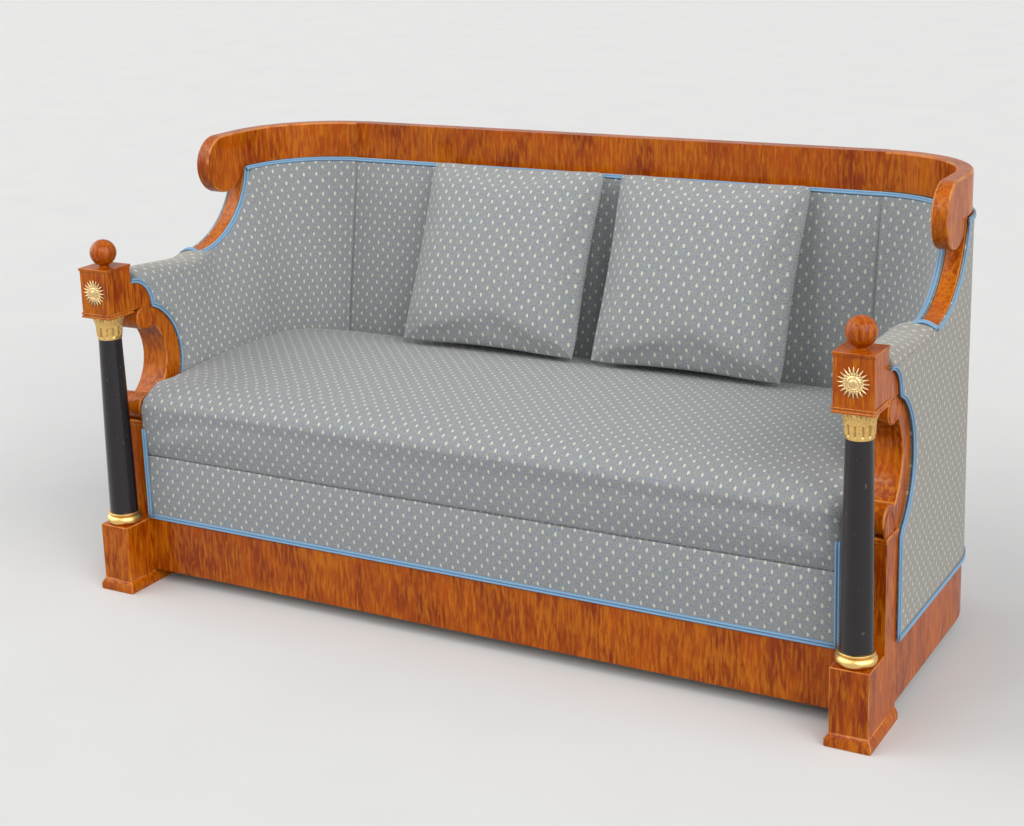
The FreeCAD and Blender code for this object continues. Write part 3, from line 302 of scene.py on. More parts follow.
def dotted_cloth_finish():
    """Grey cloth with woven cream ovals in staggered rows; on the outside and over the tops the grey is
    warmer, which is painted warm light.
    """
    cloth = Finish("dotted_cover", sheen_weight=0.2, sheen_roughness=0.5)
    thread_pitch = 0.0016
    weave = cloth.mark("weave")
    # The weave's third part is the share of painted warm light: the grey is painted warmer where it is 1.
    across, along, painted_warm_light = cloth.axes(weave)
    ground = cloth.mix(painted_warm_light, tone(150, 157, 163), tone(158, 156, 151))
    shaded = cloth.mix(painted_warm_light, tone(108, 117, 127), tone(120, 118, 114))
    wander = cloth.noise(weave, 45, 2)
    distances = []
    for shift in (0.0, 0.5):
        sums = None
        for run, pitch, half in zip((across, along), DOT_PITCH, DOT_HALF):
            turn = cloth.math("FRACT", run / pitch + shift + wander * 0.08)
            offset = (turn - 0.5) * (pitch / half)
            sums = offset * offset if sums is None else sums + offset * offset
        distances.append(sums)
    nearest = cloth.math("MINIMUM", distances[0], distances[1])
    spot = 1 - cloth.ease(nearest, 0.65, 1.35)
    threads = [cloth.math("SINE", run * (2 * math.pi / thread_pitch)) for run in (across, along)]
    cross = threads[0] * threads[1]
    slub = cloth.noise(weave, 400, 3)
    drawn_out = cloth.node("ShaderNodeMapping", None, {"Vector": weave, "Scale": (1, 0.45, 1)})
    fleck = cloth.noise(drawn_out, 310, 4)
    colour = cloth.mix(cloth.ease(slub, 0.37, 0.63), shaded, ground)
    colour = cloth.mix(cloth.ease(fleck, 0.45, 0.62) * 0.62, colour, tone(160, 153, 132))
    colour = cloth.mix(spot * (slub * 0.9 + 0.28), colour, tone(217, 214, 198))
    woven = cloth.bump(cross * 0.35 + slub * 0.8 + spot * 0.9, 0.0006, 0.5)
    return cloth.surface(base_color=colour, roughness=0.92 - spot * 0.1, normal=woven)


def gimp_finish():
    """Sky-blue braid with a ribbed twist along each cord, darker in the grooves of the twist and between the
    cords as painted shade.
    """
    braid = Finish("sky_blue_gimp", sheen_weight=0.3)
    twist_pitch = 0.0032
    across, along, _ = braid.axes(braid.mark("weave"))
    twist = braid.math("SINE", (along + across * 0.6) * (2 * math.pi / twist_pitch))
    groove = braid.math("COSINE", across * (4 * math.pi / GIMP_WIDTH))
    shade = braid.ease(twist * 0.5 - groove * 0.5, -1.1, 0.7)
    # Painted shade: the colour darkens where the twist and the groove between the cords sink.
    colour = braid.mix(shade, tone(70, 112, 150), tone(126, 168, 198))
    ribs = braid.bump(shade, 0.0008, 0.5)
    return braid.surface(base_color=colour, roughness=0.8 - shade * 0.1, normal=ribs)


def plain_wood_finish():
    """Planed beech and pine of the hidden frame."""
    wood = Finish("frame_wood")
    streak = wood.noise(wood.place((0.2, 1, 1)), 90, 4)
    colour = wood.mix(streak, tone(150, 112, 70), tone(204, 170, 122))
    return wood.surface(base_color=colour, roughness=streak * 0.2 + 0.55)


def steel_finish():
    wire = Finish("spring_steel", metallic=1.0)
    rust = wire.ease(wire.noise(wire.place(), 130, 4), 0.5, 0.7)
    colour = wire.mix(rust, tone(120, 118, 116), tone(98, 62, 40))
    return wire.surface(base_color=colour, roughness=rust * 0.3 + 0.35)


def jute_finish():
    """Coarse woven jute."""
    jute = Finish("jute")
    thread_pitch = 0.003
    across, along, _ = jute.axes(jute.place())
    threads = [jute.math("SINE", run * (2 * math.pi / thread_pitch)) for run in (across, along)]
    weave = threads[0] * threads[1] * 0.5 + 0.5
    blotch = jute.noise(jute.place(), 70, 3)
    colour = jute.mix(weave * 0.5 + blotch * 0.5, tone(112, 84, 52), tone(178, 146, 100))
    return jute.surface(base_color=colour, roughness=0.95 - weave * 0.1, normal=jute.bump(weave, 0.0008))


VENEER = veneer_finish("orange_veneer", tone(128, 45, 0), tone(167, 74, 0), tone(206, 120, 14))
# The edges' finish has paler tones and pale patches: partly wear, partly painted highlight.
WORN_AND_HIGHLIT_EDGE = veneer_finish("worn_and_highlit_edge", tone(146, 58, 0), tone(178, 82, 4), tone(210, 124, 26), wear_and_highlight=0.5)
EBONISED = ebonised_finish()
GILT = gilt_finish("gilt_brass", tone(230, 192, 120), tone(130, 90, 40))
WORN_GILT = gilt_finish("worn_gilt", tone(214, 188, 140), tone(104, 76, 44))
COVER = dotted_cloth_finish()
GIMP = gimp_finish()
FRAME_WOOD = plain_wood_finish()
STEEL = steel_finish()
JUTE = jute_finish()


# Making pieces

def mesh_of(name, shape, finishes=()):
    mesh = bpy.data.meshes.new(name)
    shape.to_mesh(mesh)
    shape.free()
    for finish in finishes:
        mesh.materials.append(finish.material)
    return mesh


def placed(name, data):
    """A new object in the scene."""
    made = bpy.data.objects.new(name, data)
    bpy.context.scene.collection.objects.link(made)
    return made


def piece(name, shape, finishes, body="sofa", sharp=35):
    """A piece of the sofa. Its faces blend where they meet at less than the sharp angle, in degrees."""
    mesh = mesh_of(name, shape, finishes)
    mesh.shade_smooth()
    mesh.set_sharp_from_angle(angle=math.radians(sharp))
    made = placed(name, mesh)
    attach(made, body)
    return made


def welded(shape):
    bmesh.ops.remove_doubles(shape, verts=shape.verts, dist=WELD)
    return shape


def closed(shape):
    bmesh.ops.recalc_face_normals(welded(shape), faces=shape.faces)
    return shape


def node_shape(node):
    """The shape of a piece of the frame."""
    shape = bmesh.new()
    shape.from_mesh(nodes[node].data)
    return welded(shape)


def turned(outline, steps=64):
    """A turned shape: (radius, height) points spun round an upright axis."""
    shape = bmesh.new()
    points = [shape.verts.new((radius, 0, height)) for radius, height in outline]
    edges = [shape.edges.new(pair) for pair in zip(points, points[1:])]
    bmesh.ops.spin(shape, geom=points + edges, cent=(0, 0, 0), axis=(0, 0, 1), angle=2 * math.pi, steps=steps,
                   use_merge=True)
    return closed(shape)


def arc_points(centre, radius, start, end, count):
    """Points along an arc, angles in degrees from the first axis."""
    angles = [math.radians(between(start, end, step / count)) for step in range(count + 1)]
    return [(centre[0] + radius * math.cos(angle), centre[1] + radius * math.sin(angle)) for angle in angles]


def moved(shape, place):
    bmesh.ops.translate(shape, vec=Vector(place), verts=shape.verts)
    return shape


def rotated(shape, angle, axis):
    bmesh.ops.rotate(shape, cent=(0, 0, 0), matrix=Matrix.Rotation(angle, 3, axis), verts=shape.verts)
    return shape


def joined(shapes):
    """Several shapes in one."""
    whole = bmesh.new()
    for shape in shapes:
        mesh = mesh_of("part", shape)
        whole.from_mesh(mesh)
        bpy.data.meshes.remove(mesh)
    return whole


def eased(node, edge, skip=None):
    """A wooden piece of the frame with its sharp edges rounded over, except those to skip; the rounded edges
    get a paler finish, partly wear and partly painted highlight.
    """
    shape = node_shape(node)
    bmesh.ops.dissolve_limit(shape, angle_limit=math.radians(0.8), verts=shape.verts, edges=shape.edges)
    for face in shape.faces:
        face.material_index = 0
    corner_angle = math.radians(40)
    sharp = [line for line in shape.edges if line.is_manifold and line.calc_face_angle() > corner_angle]
    if skip:
        sharp = [line for line in sharp if not all(skip(corner.co) for corner in line.verts)]
    rounded = bmesh.ops.bevel(shape, geom=sharp, offset=edge, offset_type="OFFSET", segments=3,
                              profile=0.5, affect="EDGES", material=-1, clamp_overlap=True)
    # The rounded edges take the paler edge finish: partly wear, partly painted highlight.
    for face in rounded["faces"]:
        face.material_index = 1
    made = piece(f"{node}_eased", shape, (VENEER, WORN_AND_HIGHLIT_EDGE))
    for name in ("custom_normal", "sharp_face"):
        if name in made.data.attributes:
            made.data.attributes.remove(made.data.attributes[name])
    flat = made.modifiers.new("flat_faces", "WEIGHTED_NORMAL")
    flat.keep_sharp = True
    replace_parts(made, node)


def panel(columns, rows, place, cloth, outward):
    """A sheet of squares that faces outward. place says where a corner lies, cloth where it lay when flat."""
    shape = bmesh.new()
    weave = shape.verts.layers.float_vector.new("weave")
    bmesh.ops.create_grid(shape, x_segments=columns, y_segments=rows, size=0.5)
    for corner in shape.verts:
        column = round((corner.co.x + 0.5) * columns)
        row = round((corner.co.y + 0.5) * rows)
        corner.co = place(column, row)
        corner[weave] = cloth(column, row)
    shape.normal_update()
    facing = sum(face.normal.dot(outward) for face in shape.faces)
    if facing < 0:
        bmesh.ops.reverse_faces(shape, faces=shape.faces)
    return shape


def handed(shape, sign):
    """The right-hand shape, or the left-hand one made from it."""
    if sign < 0:
        bmesh.ops.scale(shape, vec=(-1, 1, 1), verts=shape.verts)
        bmesh.ops.reverse_faces(shape, faces=shape.faces)
    return shape


def upright_cloth(place, painted_warm_light=0):
    """For a cover that hangs upright: its flat cloth is as wide and as high as it hangs, and its third part
    is the share of painted warm light.
    """
    def cloth(column, row):
        where = place(column, row)
        return Vector((where.x, where.z, painted_warm_light))
    return cloth


def flat_panel(low, high, columns, rows, slack=0):
    """A level cloth over a box, up to four times the slack lower in its middle."""
    def place(column, row):
        across, deep = column / columns, row / rows
        dip = slack * (2 - math.cos(2 * math.pi * across) - math.cos(2 * math.pi * deep))
        return Vector((between(low[0], high[0], across), between(low[1], high[1], deep), high[2] - dip))
    return panel(columns, rows, place, place, UP)


def under_wood(place):
    """Next to the wing board or the crest, where a cover is tacked."""
    tack_margin = 0.022
    edge = CREST_BASE if place.y > WING_TIP_Y + WING_REACH else wing_edge(place.y)
    return place.y > WING_TIP_Y and place.z > min(edge, CREST_BASE) - tack_margin


def held_edge(made, depth):
    """Marks the rows next to a cover's border and next to the wood, where tacks hold it."""
    shape = bmesh.new()
    shape.from_mesh(made.data)
    held = {corner for corner in shape.verts if corner.is_boundary or under_wood(corner.co)}
    for _ in range(depth - 1):
        held |= {line.other_vert(corner) for corner in held for line in corner.link_edges}
    indexes = [corner.index for corner in held]
    shape.free()
    made.vertex_groups.new(name="held").add(indexes, 1.0, "ADD")


def thickened(made, thickness):
    """Gives a cloth its thickness, inwards."""
    wall = made.modifiers.new("cloth_thickness", "SOLIDIFY")
    wall.thickness = thickness
    wall.offset = -1
    wall.edge_crease_outer = 1
    return made


def smoothed(made):
    """Rounds the facets of a cover."""
    rounding = made.modifiers.new("rounding", "SUBSURF")
    rounding.levels = 1
    rounding.render_levels = 1


def settle(pads):
    """Lets the stuffing push each cover out from inside, no further than its limit."""
    scene = bpy.context.scene
    frames = 20
    for pad, _, pressure in pads:
        cloth = pad.modifiers.new("stuffing", "CLOTH")
        cloth.settings.use_pressure = True
        cloth.settings.uniform_pressure_force = pressure
        cloth.settings.effector_weights.gravity = 0
        cloth.collision_settings.use_collision = False
        cloth.point_cache.frame_start = 1
        cloth.point_cache.frame_end = frames
        if "held" in pad.vertex_groups:
            cloth.settings.vertex_group_mass = "held"
    for step in range(1, frames + 1):
        scene.frame_set(step)
    graph = bpy.context.evaluated_depsgraph_get()
    for pad, limit, _ in pads:
        pushed = [corner.co.copy() for corner in pad.evaluated_get(graph).data.vertices]
        pad.modifiers.remove(pad.modifiers["stuffing"])
        for corner, place in zip(pad.data.vertices, pushed):
            push = place - corner.co
            if push.length > limit:
                push = push.normalized() * limit
            corner.co += push
        pad.data.update()
    scene.frame_set(1)


# Show-wood

def on_joint(place):
    """On the planes where the pieces of the crest and of the rear rails meet."""
    return abs(abs(place.x) - CORNER_X) < 1e-4


def make_show_wood():
    for side, _ in SIDES:
        for name, edge in (("foot_moulding", 0.002), ("plinth_block", 0.0022), ("corner_post", 0.0022),
                           ("post_ledge", 0.003), ("abacus", 0.0011), ("arm_block", 0.0022),
                           ("cap_plate", 0.0022), ("wing_board", 0.002), ("c_scroll", 0.003),
                           ("side_rail", 0.002)):
            eased(f"{name}_{side}", edge)
        eased(f"crest_end_{side}", 0.004, skip=on_joint)
        eased(f"corner_rail_{side}", 0.002, skip=on_joint)
    eased("crest_rail_back", 0.004, skip=on_joint)
    eased("front_rail", 0.002)
    eased("rear_feet", 0.002)
    eased("back_rail", 0.002, skip=on_joint)


def make_balls():
    low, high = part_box("ball_finial_right")
    radius = (high.x - low.x) / 2
    seat = CAP_HIGH.z
    pin_end = seat - 0.01
    neck = [(0, pin_end), (PIN_RADIUS, pin_end), (PIN_RADIUS, seat + 0.0012), (0.0105, seat + 0.003)]
    ball = arc_points((0, high.z - radius), radius, -66, 90, 28)
    for side, sign in SIDES:
        shape = moved(turned(neck + ball), (sign * COLUMN_X, COLUMN_Y, 0))
        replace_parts(piece(f"ball_{side}", shape, (VENEER,)), f"ball_finial_{side}")


def make_scroll_buttons():
    """The round ends of each C-scroll's two rolls: a flat eye inside a raised rim."""
    half_width = (SCROLL_HIGH.x - SCROLL_LOW.x) / 2
    rolls = (("lower", BLOCK_BACK_Y + 0.030, SCROLL_LOW.z + 0.030, 0.0285),
             ("upper", BLOCK_BACK_Y + 0.042, SCROLL_HIGH.z - 0.0265, 0.025))
    rim = 0.0016
    for side, sign in SIDES:
        for outward in (-1, 1):
            edge = "outer" if outward == sign else "inner"
            for kind, y, z, radius in rolls:
                outline = [(0, -0.002), (radius, -0.002), (radius, 0.0004)]
                outline += arc_points((radius - rim, 0.0004), rim, 0, 180, 6)
                outline += [(radius - 0.0036, 0.0002), (radius * 0.45, 0.0008), (0, 0.0012)]
                shape = rotated(turned(outline, 40), outward * math.pi / 2, "Y")
                moved(shape, (sign * COLUMN_X + outward * half_width, y, z))
                piece(f"scroll_eye_{kind}_{edge}_{side}", shape, (VENEER,))


# Columns and mounts

def make_columns():
    ring_low, ring_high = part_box("column_ring_right")
    ring_radius = (ring_high.x - ring_low.x) / 2
    bulge, collar = 0.011, 0.0352
    bulge_top = ring_low.z + 2 * bulge
    shaft_foot, shaft_neck, shaft_swell = 0.0315, 0.0255, 0.0006
    capital_low, capital_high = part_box("column_capital_right")
    for side, sign in SIDES:
        axis = (sign * COLUMN_X, COLUMN_Y, 0)
        ring = [(PIN_RADIUS, ring_low.z), (ring_radius - bulge, ring_low.z)]
        ring += arc_points((ring_radius - bulge, ring_low.z + bulge), bulge, -80, 80, 12)
        ring += [(0.0335, bulge_top + 0.0006), (collar, bulge_top + 0.0016), (collar, ring_high.z - 0.0006),
                 (0.0346, ring_high.z), (PIN_RADIUS, ring_high.z)]
        base = piece(f"base_ring_{side}", moved(turned(ring, 72), axis), (GILT,))
        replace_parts(base, f"column_ring_{side}")

        shaft = [(0, ring_high.z)]
        for step in range(13):
            share = step / 12
            radius = between(shaft_foot, shaft_neck, share) + shaft_swell * arch(share)
            shaft.append((radius, between(ring_high.z, capital_low.z, share)))
        shaft.append((0, capital_low.z))
        drum = piece(f"shaft_{side}", moved(turned(shaft, 72), axis), (EBONISED,))
        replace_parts(drum, f"column_shaft_{side}")

        bell = moved(leafy_bell(capital_low.z, capital_high.z), axis)
        head = piece(f"leaf_capital_{side}", bell, (GILT,), sharp=60)
        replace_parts(head, f"column_capital_{side}")


LEAF_RISE = 0.0026
LEAF_HALF = 0.47
LEAVES = 12


def leaf_rise(turn, share):
    """How far a ring of pointed leaves stands out, at a share of a turn and of the height."""
    leaf = turn % 1 - 0.5
    width = LEAF_HALF * (1 - share ** 3)
    if abs(leaf) >= width:
        return 0
    body = 1 - (leaf / width) ** 2
    veins = 0.5 + 0.5 * math.cos(2 * math.pi * (3 * abs(leaf) / LEAF_HALF - 2 * share))
    return LEAF_RISE * body * (0.55 + 0.45 * veins)


def leafy_bell(low, high):
    """A gilt capital: a plain band, then a bell with two rings of leaves that flares to a lip."""
    band_top = low + 0.008
    waist = high - 0.017
    outline = [(PIN_RADIUS, low), (0.0262, low), (0.0268, low + 0.001), (0.0268, band_top - 0.001),
               (0.0258, band_top)]
    steps = 40
    for step in range(1, steps + 1):
        z = between(band_top, high - 0.003, step / steps)
        radius = 0.0256 + 0.0014 * (z - band_top) / (waist - band_top)
        radius += 0.0058 * smooth_step(waist - 0.004, high, z)
        outline.append((radius, z))
    outline += [(0.0345, high - 0.0024), (0.0345, high), (PIN_RADIUS, high)]
    shape = turned(outline, 192)
    hollow = shape.verts.layers.float.new("hollow")
    for corner in shape.verts:
        if not band_top < corner.co.z < high - 0.0028:
            continue
        share = (corner.co.z - band_top) / (high - band_top)
        turn = math.atan2(corner.co.y, corner.co.x) / (2 * math.pi) * LEAVES
        rise = leaf_rise(turn, share)
        if share > 0.45:
            rise = max(rise, leaf_rise(turn + 0.5, max(0, share * 1.6 - 0.75)))
        corner[hollow] = 1 - rise / LEAF_RISE
        radius = math.hypot(corner.co.x, corner.co.y)
        corner.co.x *= 1 + rise / radius
        corner.co.y *= 1 + rise / radius
    return shape


def petal(length, width, depth, reach, angle):
    """One raised ray, tapering outwards."""
    shape = bmesh.new()
    bmesh.ops.create_uvsphere(shape, u_segments=10, v_segments=8, radius=1)
    for corner in shape.verts:
        x, y, z = corner.co
        taper = 1 - 0.5 * smooth_step(-0.4, 1, x)
        corner.co = Vector((x * length / 2, y * width / 2 * taper, z * depth * taper))
    return rotated(moved(shape, (reach, 0, 0)), angle, "Z")


def make_rosettes():
    """A sun of rays round a beaded ring and a boss, pinned to each arm block."""
    low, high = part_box("sun_rosette_right")
    radius = (high.x - low.x) / 2
    middle_z = (low.z + high.z) / 2
    rays = 20
    disc = [(0, 0), (0.0148, 0), (0.0148, 0.0016), (0.0141, 0.0024), (0.0132, 0.0029), (0.0126, 0.0036),
            (0.0112, 0.0042), (0.0098, 0.0034), (0.0085, 0.003), (0.0072, 0.0042), (0.0045, 0.0057),
            (0, 0.0061)]
    long_ray = (0.0165, 0.0045, 0.0022, radius - 0.0083)
    short_ray = (0.007, 0.0036, 0.0016, 0.0162)
    bead = (0.0032, 0.0026, 0.0013, 0.0088)
    for side, sign in SIDES:
        shapes = [turned(disc, 48)]
        for index in range(rays):
            for form, shift, lift in ((long_ray, 0, 0.0012), (short_ray, 0.5, 0.0026), (bead, 0, 0.0038)):
                angle = 2 * math.pi * (index + shift) / rays
                shapes.append(moved(petal(*form, angle), (0, 0, lift)))
        sun = rotated(joined(shapes), math.pi / 2, "X")
        moved(sun, (sign * COLUMN_X, BLOCK_LOW.y, middle_z))
        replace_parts(piece(f"sun_{side}", sun, (WORN_GILT,), sharp=50), f"sun_rosette_{side}")


# Covers

def circle_through(first, second, third):
    """Centre and radius of the circle through three (y, z) points."""
    (ax, ay), (bx, by), (cx, cy) = first, second, third
    twice = 2 * (ax * (by - cy) + bx * (cy - ay) + cx * (ay - by))
    a, b, c = ax * ax + ay * ay, bx * bx + by * by, cx * cx + cy * cy
    y = (a * (by - cy) + b * (cy - ay) + c * (ay - by)) / twice
    z = (a * (cx - bx) + b * (ax - cx) + c * (bx - ax)) / twice
    return y, z, math.hypot(ax - y, ay - z)


SCROLL_ROUND = circle_through((POST_BACK_Y + 0.002, POST_TOP), (SCROLL_HIGH.y, (POST_TOP + EAR_BASE) / 2),
                              (BLOCK_HIGH.y + 0.004, EAR_BASE))


def front_edge(z, clear=GAP):
    """Where an arm's cover stops at the front: at the post, the C-scroll, the ear, then the block."""
    if z < POST_TOP:
        return POST_BACK_Y + clear
    if z < EAR_BASE:
        y, middle, radius = SCROLL_ROUND
        return y + math.sqrt((radius + clear) ** 2 - (z - middle) ** 2)
    if z < EAR_BASE + EAR_RADIUS:
        return BLOCK_BACK_Y + max(math.sqrt((EAR_RADIUS + clear) ** 2 - (z - EAR_BASE) ** 2), clear)
    return BLOCK_BACK_Y + clear


def wing_edge(y):
    """Height of the wing board's hollow edge."""
    run = min(max(y - WING_TIP_Y, 0), WING_REACH)
    return WING_TIP_Z + WING_RADIUS - math.sqrt(WING_RADIUS ** 2 - run ** 2)


def swelling(share, foot, middle, top, middle_share=0.6):
    """A pad's thickness at a share of its height: a smooth curve through three thicknesses."""
    bend = ((middle - foot) / middle_share - (top - foot)) / (middle_share - 1)
    return foot + (top - foot - bend) * share + bend * share * share


ARM_STATIONS = [0, 0, 0.012, 0.035, 0.07, 0.115, 0.18] + [0.26 + 0.074 * step for step in range(11)]
WING_STATIONS = [step / 13 for step in range(1, 14)]
BEND_STATIONS = [step / 14 for step in range(1, 15)]
FACE_ROWS = 24
OVER_ROWS = 10
EDGE_RETURN = 0.35
EDGE_ROUND = 0.022
SEAM_DIP = 0.0015
WOOD_LAP = 0.006
TUCK = 0.005
LIFT = 0.004
PAD_EDGE = 0.014
ARM_FOOT, ARM_MIDDLE, ARM_TOP = 0.06, 0.052, 0.048
BACK_FOOT, BACK_MIDDLE, CORNER_MIDDLE = 0.094, 0.048, 0.049
BEND_FILL = 0.032


def side_station(column, z):
    """Along one side of the sofa, from the front edge round to the back: (y, angle round the corner)."""
    if column < len(ARM_STATIONS):
        return between(front_edge(z), WING_TIP_Y, min(ARM_STATIONS[column], 1)), 0
    column -= len(ARM_STATIONS)
    if column < len(WING_STATIONS):
        return between(WING_TIP_Y, CORNER_Y, WING_STATIONS[column]), 0
    return CORNER_Y, BEND_STATIONS[column - len(WING_STATIONS)] * math.pi / 2


SIDE_COLUMNS = len(ARM_STATIONS) + len(WING_STATIONS) + len(BEND_STATIONS) - 1


def on_arm(column):
    return column < len(ARM_STATIONS)


def side_top(y, on_corner):
    """Top of the stuffed side: level on the arm, then along the wing board to the crest."""
    if on_corner:
        return CREST_BASE - WOOD_LAP
    if y <= WING_TIP_Y:
        return between(ARM_LEVEL, WING_TIP_Z - 0.004, smooth_step(WING_TIP_Y - 0.06, WING_TIP_Y, y))
    return min(wing_edge(y), CREST_BASE) - WOOD_LAP


def side_thickness(y, angle, share):
    """How far the stuffing of an arm or corner stands off its wall."""
    top = between(ARM_TOP, PAD_EDGE, smooth_step(WING_TIP_Y - 0.05, WING_TIP_Y + 0.06, y))
    back = math.sin(angle) ** 2
    arm = swelling(share, ARM_FOOT, ARM_MIDDLE, top)
    corner = swelling(share, BACK_FOOT, CORNER_MIDDLE, PAD_EDGE)
    in_the_bend = BEND_FILL * math.sin(2 * angle) ** 2 * (1 - share)
    return between(arm, corner, back) + in_the_bend


def seam_dip(distance, share):
    """How far the stuffing sinks next to the seam between corner and back."""
    dip_reach = 0.035
    return SEAM_DIP * (1 - smooth_step(0, dip_reach, distance)) * arch(share)


def round_corner(reach, angle, z):
    """A place round the rear corner, at a reach from the upright line that the corner turns about."""
    return Vector((CORNER_X + reach * math.cos(angle), CORNER_Y + reach * math.sin(angle), z))


def side_cover_place(column, row):
    """A corner of the cover that goes up the inside of an arm and over its top. Its front edge turns in."""
    edge_fullness, edge_rise = 0.72, 0.86
    front_rise, wing_rise = 0.030, 0.011
    if column == 0:
        edge = side_cover_place(1, row)
        core = Vector((WALL_X + 0.01, edge.y, min(edge.z, ARM_LEVEL - 0.02)))
        return edge.lerp(core, EDGE_RETURN)
    share = min(row / FACE_ROWS, 1)
    guess_y, angle = side_station(column, between(PAD_BASE, ARM_LEVEL, share))
    top = side_top(guess_y, angle > 0)
    z = between(PAD_BASE, top, share)
    y, angle = side_station(column, z)
    thick = side_thickness(y, angle, share)
    if on_arm(column):
        thick *= between(edge_fullness, 1, round_over(y - front_edge(z), EDGE_ROUND))
    over = min(max(row - FACE_ROWS, 0) / (OVER_ROWS - 1), 1)
    tail = TUCK if row == FACE_ROWS + OVER_ROWS else 0
    if over and on_arm(column):
        inner, outer = WALL_X - thick, COVER_X - 0.0005
        rise = between(front_rise, wing_rise, smooth_step(BLOCK_BACK_Y, WING_TIP_Y, y))
        rise *= between(edge_rise, 1, round_over(y - front_edge(z), EDGE_ROUND))
        turn = math.pi * over
        x = between(inner, outer, (1 - math.cos(turn)) / 2) - tail * 0.8
        z += rise * math.sin(turn) - tail
        y = max(y, front_edge(z))
        return Vector((x, y, z))
    lift = LIFT * math.sin(math.pi / 2 * over) - tail
    thick *= math.cos(math.pi / 2 * over)
    if angle:
        reach = WALL_X - CORNER_X - thick + seam_dip((math.pi / 2 - angle) * (WALL_X - CORNER_X), share)
        return round_corner(reach, angle, z + lift)
    return Vector((WALL_X - thick, y, z + lift))


def side_cover_cloth(column, row):
    over_length, bend_radius = 0.12, 0.16
    place = side_cover_place(column, row)
    _, angle = side_station(column, place.z)
    over = max(row - FACE_ROWS, 0) / OVER_ROWS
    extra = over * over_length if on_arm(column) else 0
    level = place.z if row <= FACE_ROWS else side_cover_place(column, FACE_ROWS).z
    run = place.y if not angle else CORNER_Y + bend_radius * angle
    # The third part is the share of painted warm light, rising as the cover turns over the top.
    return Vector((run, level + extra, min(2 * over, 1)))


def make_side_covers():
    pads = []
    for side, sign in SIDES:
        rows = FACE_ROWS + OVER_ROWS
        shape = panel(SIDE_COLUMNS, rows, side_cover_place, side_cover_cloth, INWARD + FORWARD + UP)
        made = piece(f"arm_cover_{side}", handed(shape, sign), (COVER,), sharp=180)
        held_edge(made, 2)
        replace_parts(made, f"side_pad_{side}", f"arm_top_{side}")
        pads.append((made, *SIDE_PUSH))
    return pads


BACK_COLUMNS = 64
BACK_OVER_ROWS = 3
BACK_CROWN = 0.005
SEAM_LAP = 0.001


def back_cover_place(column, row):
    x = between(-1, 1, column / BACK_COLUMNS) * (CORNER_X + SEAM_LAP)
    share = min(row / FACE_ROWS, 1)
    crown = BACK_CROWN * max(1 - (x / CORNER_X) ** 2, 0)
    thick = swelling(share, BACK_FOOT + crown, BACK_MIDDLE + crown, PAD_EDGE)
    thick -= seam_dip(CORNER_X - abs(x), share)
    over = max(row - FACE_ROWS, 0) / BACK_OVER_ROWS
    z = between(PAD_BASE, CREST_BASE - WOOD_LAP, share) + LIFT * math.sin(math.pi / 2 * over)
    return Vector((x, WALL_Y - thick * math.cos(math.pi / 2 * over), z))


def make_back_cover():
    cloth = upright_cloth(back_cover_place)
    shape = panel(BACK_COLUMNS, FACE_ROWS + BACK_OVER_ROWS, back_cover_place, cloth, FORWARD)
    made = piece("back_cover", shape, (COVER,), sharp=180)
    held_edge(made, 2)
    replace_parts(made, "back_pad")
    return [(made, *BACK_PUSH)]


def seat_half(y):
    """Half the seat's width: wide between the posts, narrower between the arms, round behind."""
    arm_room = 0.014
    wide, narrow = SEAT_HIGH.x, SEAT_HIGH.x - arm_room
    half = between(wide, narrow, smooth_step(POST_BACK_Y - 0.012, POST_BACK_Y + 0.004, y))
    if y > CORNER_Y:
        share = min((y - CORNER_Y) / (SEAT_HIGH.y - CORNER_Y), 1)
        half = CORNER_X + (narrow - CORNER_X) * math.sqrt(1 - share * share)
    return half


def seat_profile():
    """The seat's cover from its front seam over the rounded edge to the back: (y, z) points."""
    front = RAIL_FRONT_Y - 0.002
    base = BORDER_TOP + GAP / 2
    lip = 0.426
    belly, crown = 0.021, 0.014
    roll_depth, roll_height = 0.09, 0.047
    points = [(front, base)]
    for step in range(1, 11):
        share = step / 10
        points.append((front - belly * share ** 0.85, between(base, lip, share)))
    for step in range(1, 11):
        angle = math.pi / 2 * step / 10
        y = front - belly + roll_depth * (1 - math.cos(angle))
        points.append((y, lip + roll_height * math.sin(angle)))
    edge_y, edge_z = points[-1]
    runs = 26
    for step in range(1, runs + 1):
        share = step / runs
        z = edge_z + crown * arch(share) ** 0.8
        points.append((between(edge_y, SEAT_HIGH.y, share), z))
    return points


SEAT_COLUMNS = 84


def seat_across(column):
    """Where a column of the seat cover lies, -1 to 1, closer together at the two ends."""
    end_columns, end_share = 5, 0.03
    inner = SEAT_COLUMNS - 2 * end_columns
    if column < end_columns:
        return -1 + end_share * (1 - math.cos(math.pi / 2 * column / end_columns))
    if column > SEAT_COLUMNS - end_columns:
        return -seat_across(SEAT_COLUMNS - column)
    return between(-1 + end_share, 1 - end_share, (column - end_columns) / inner)


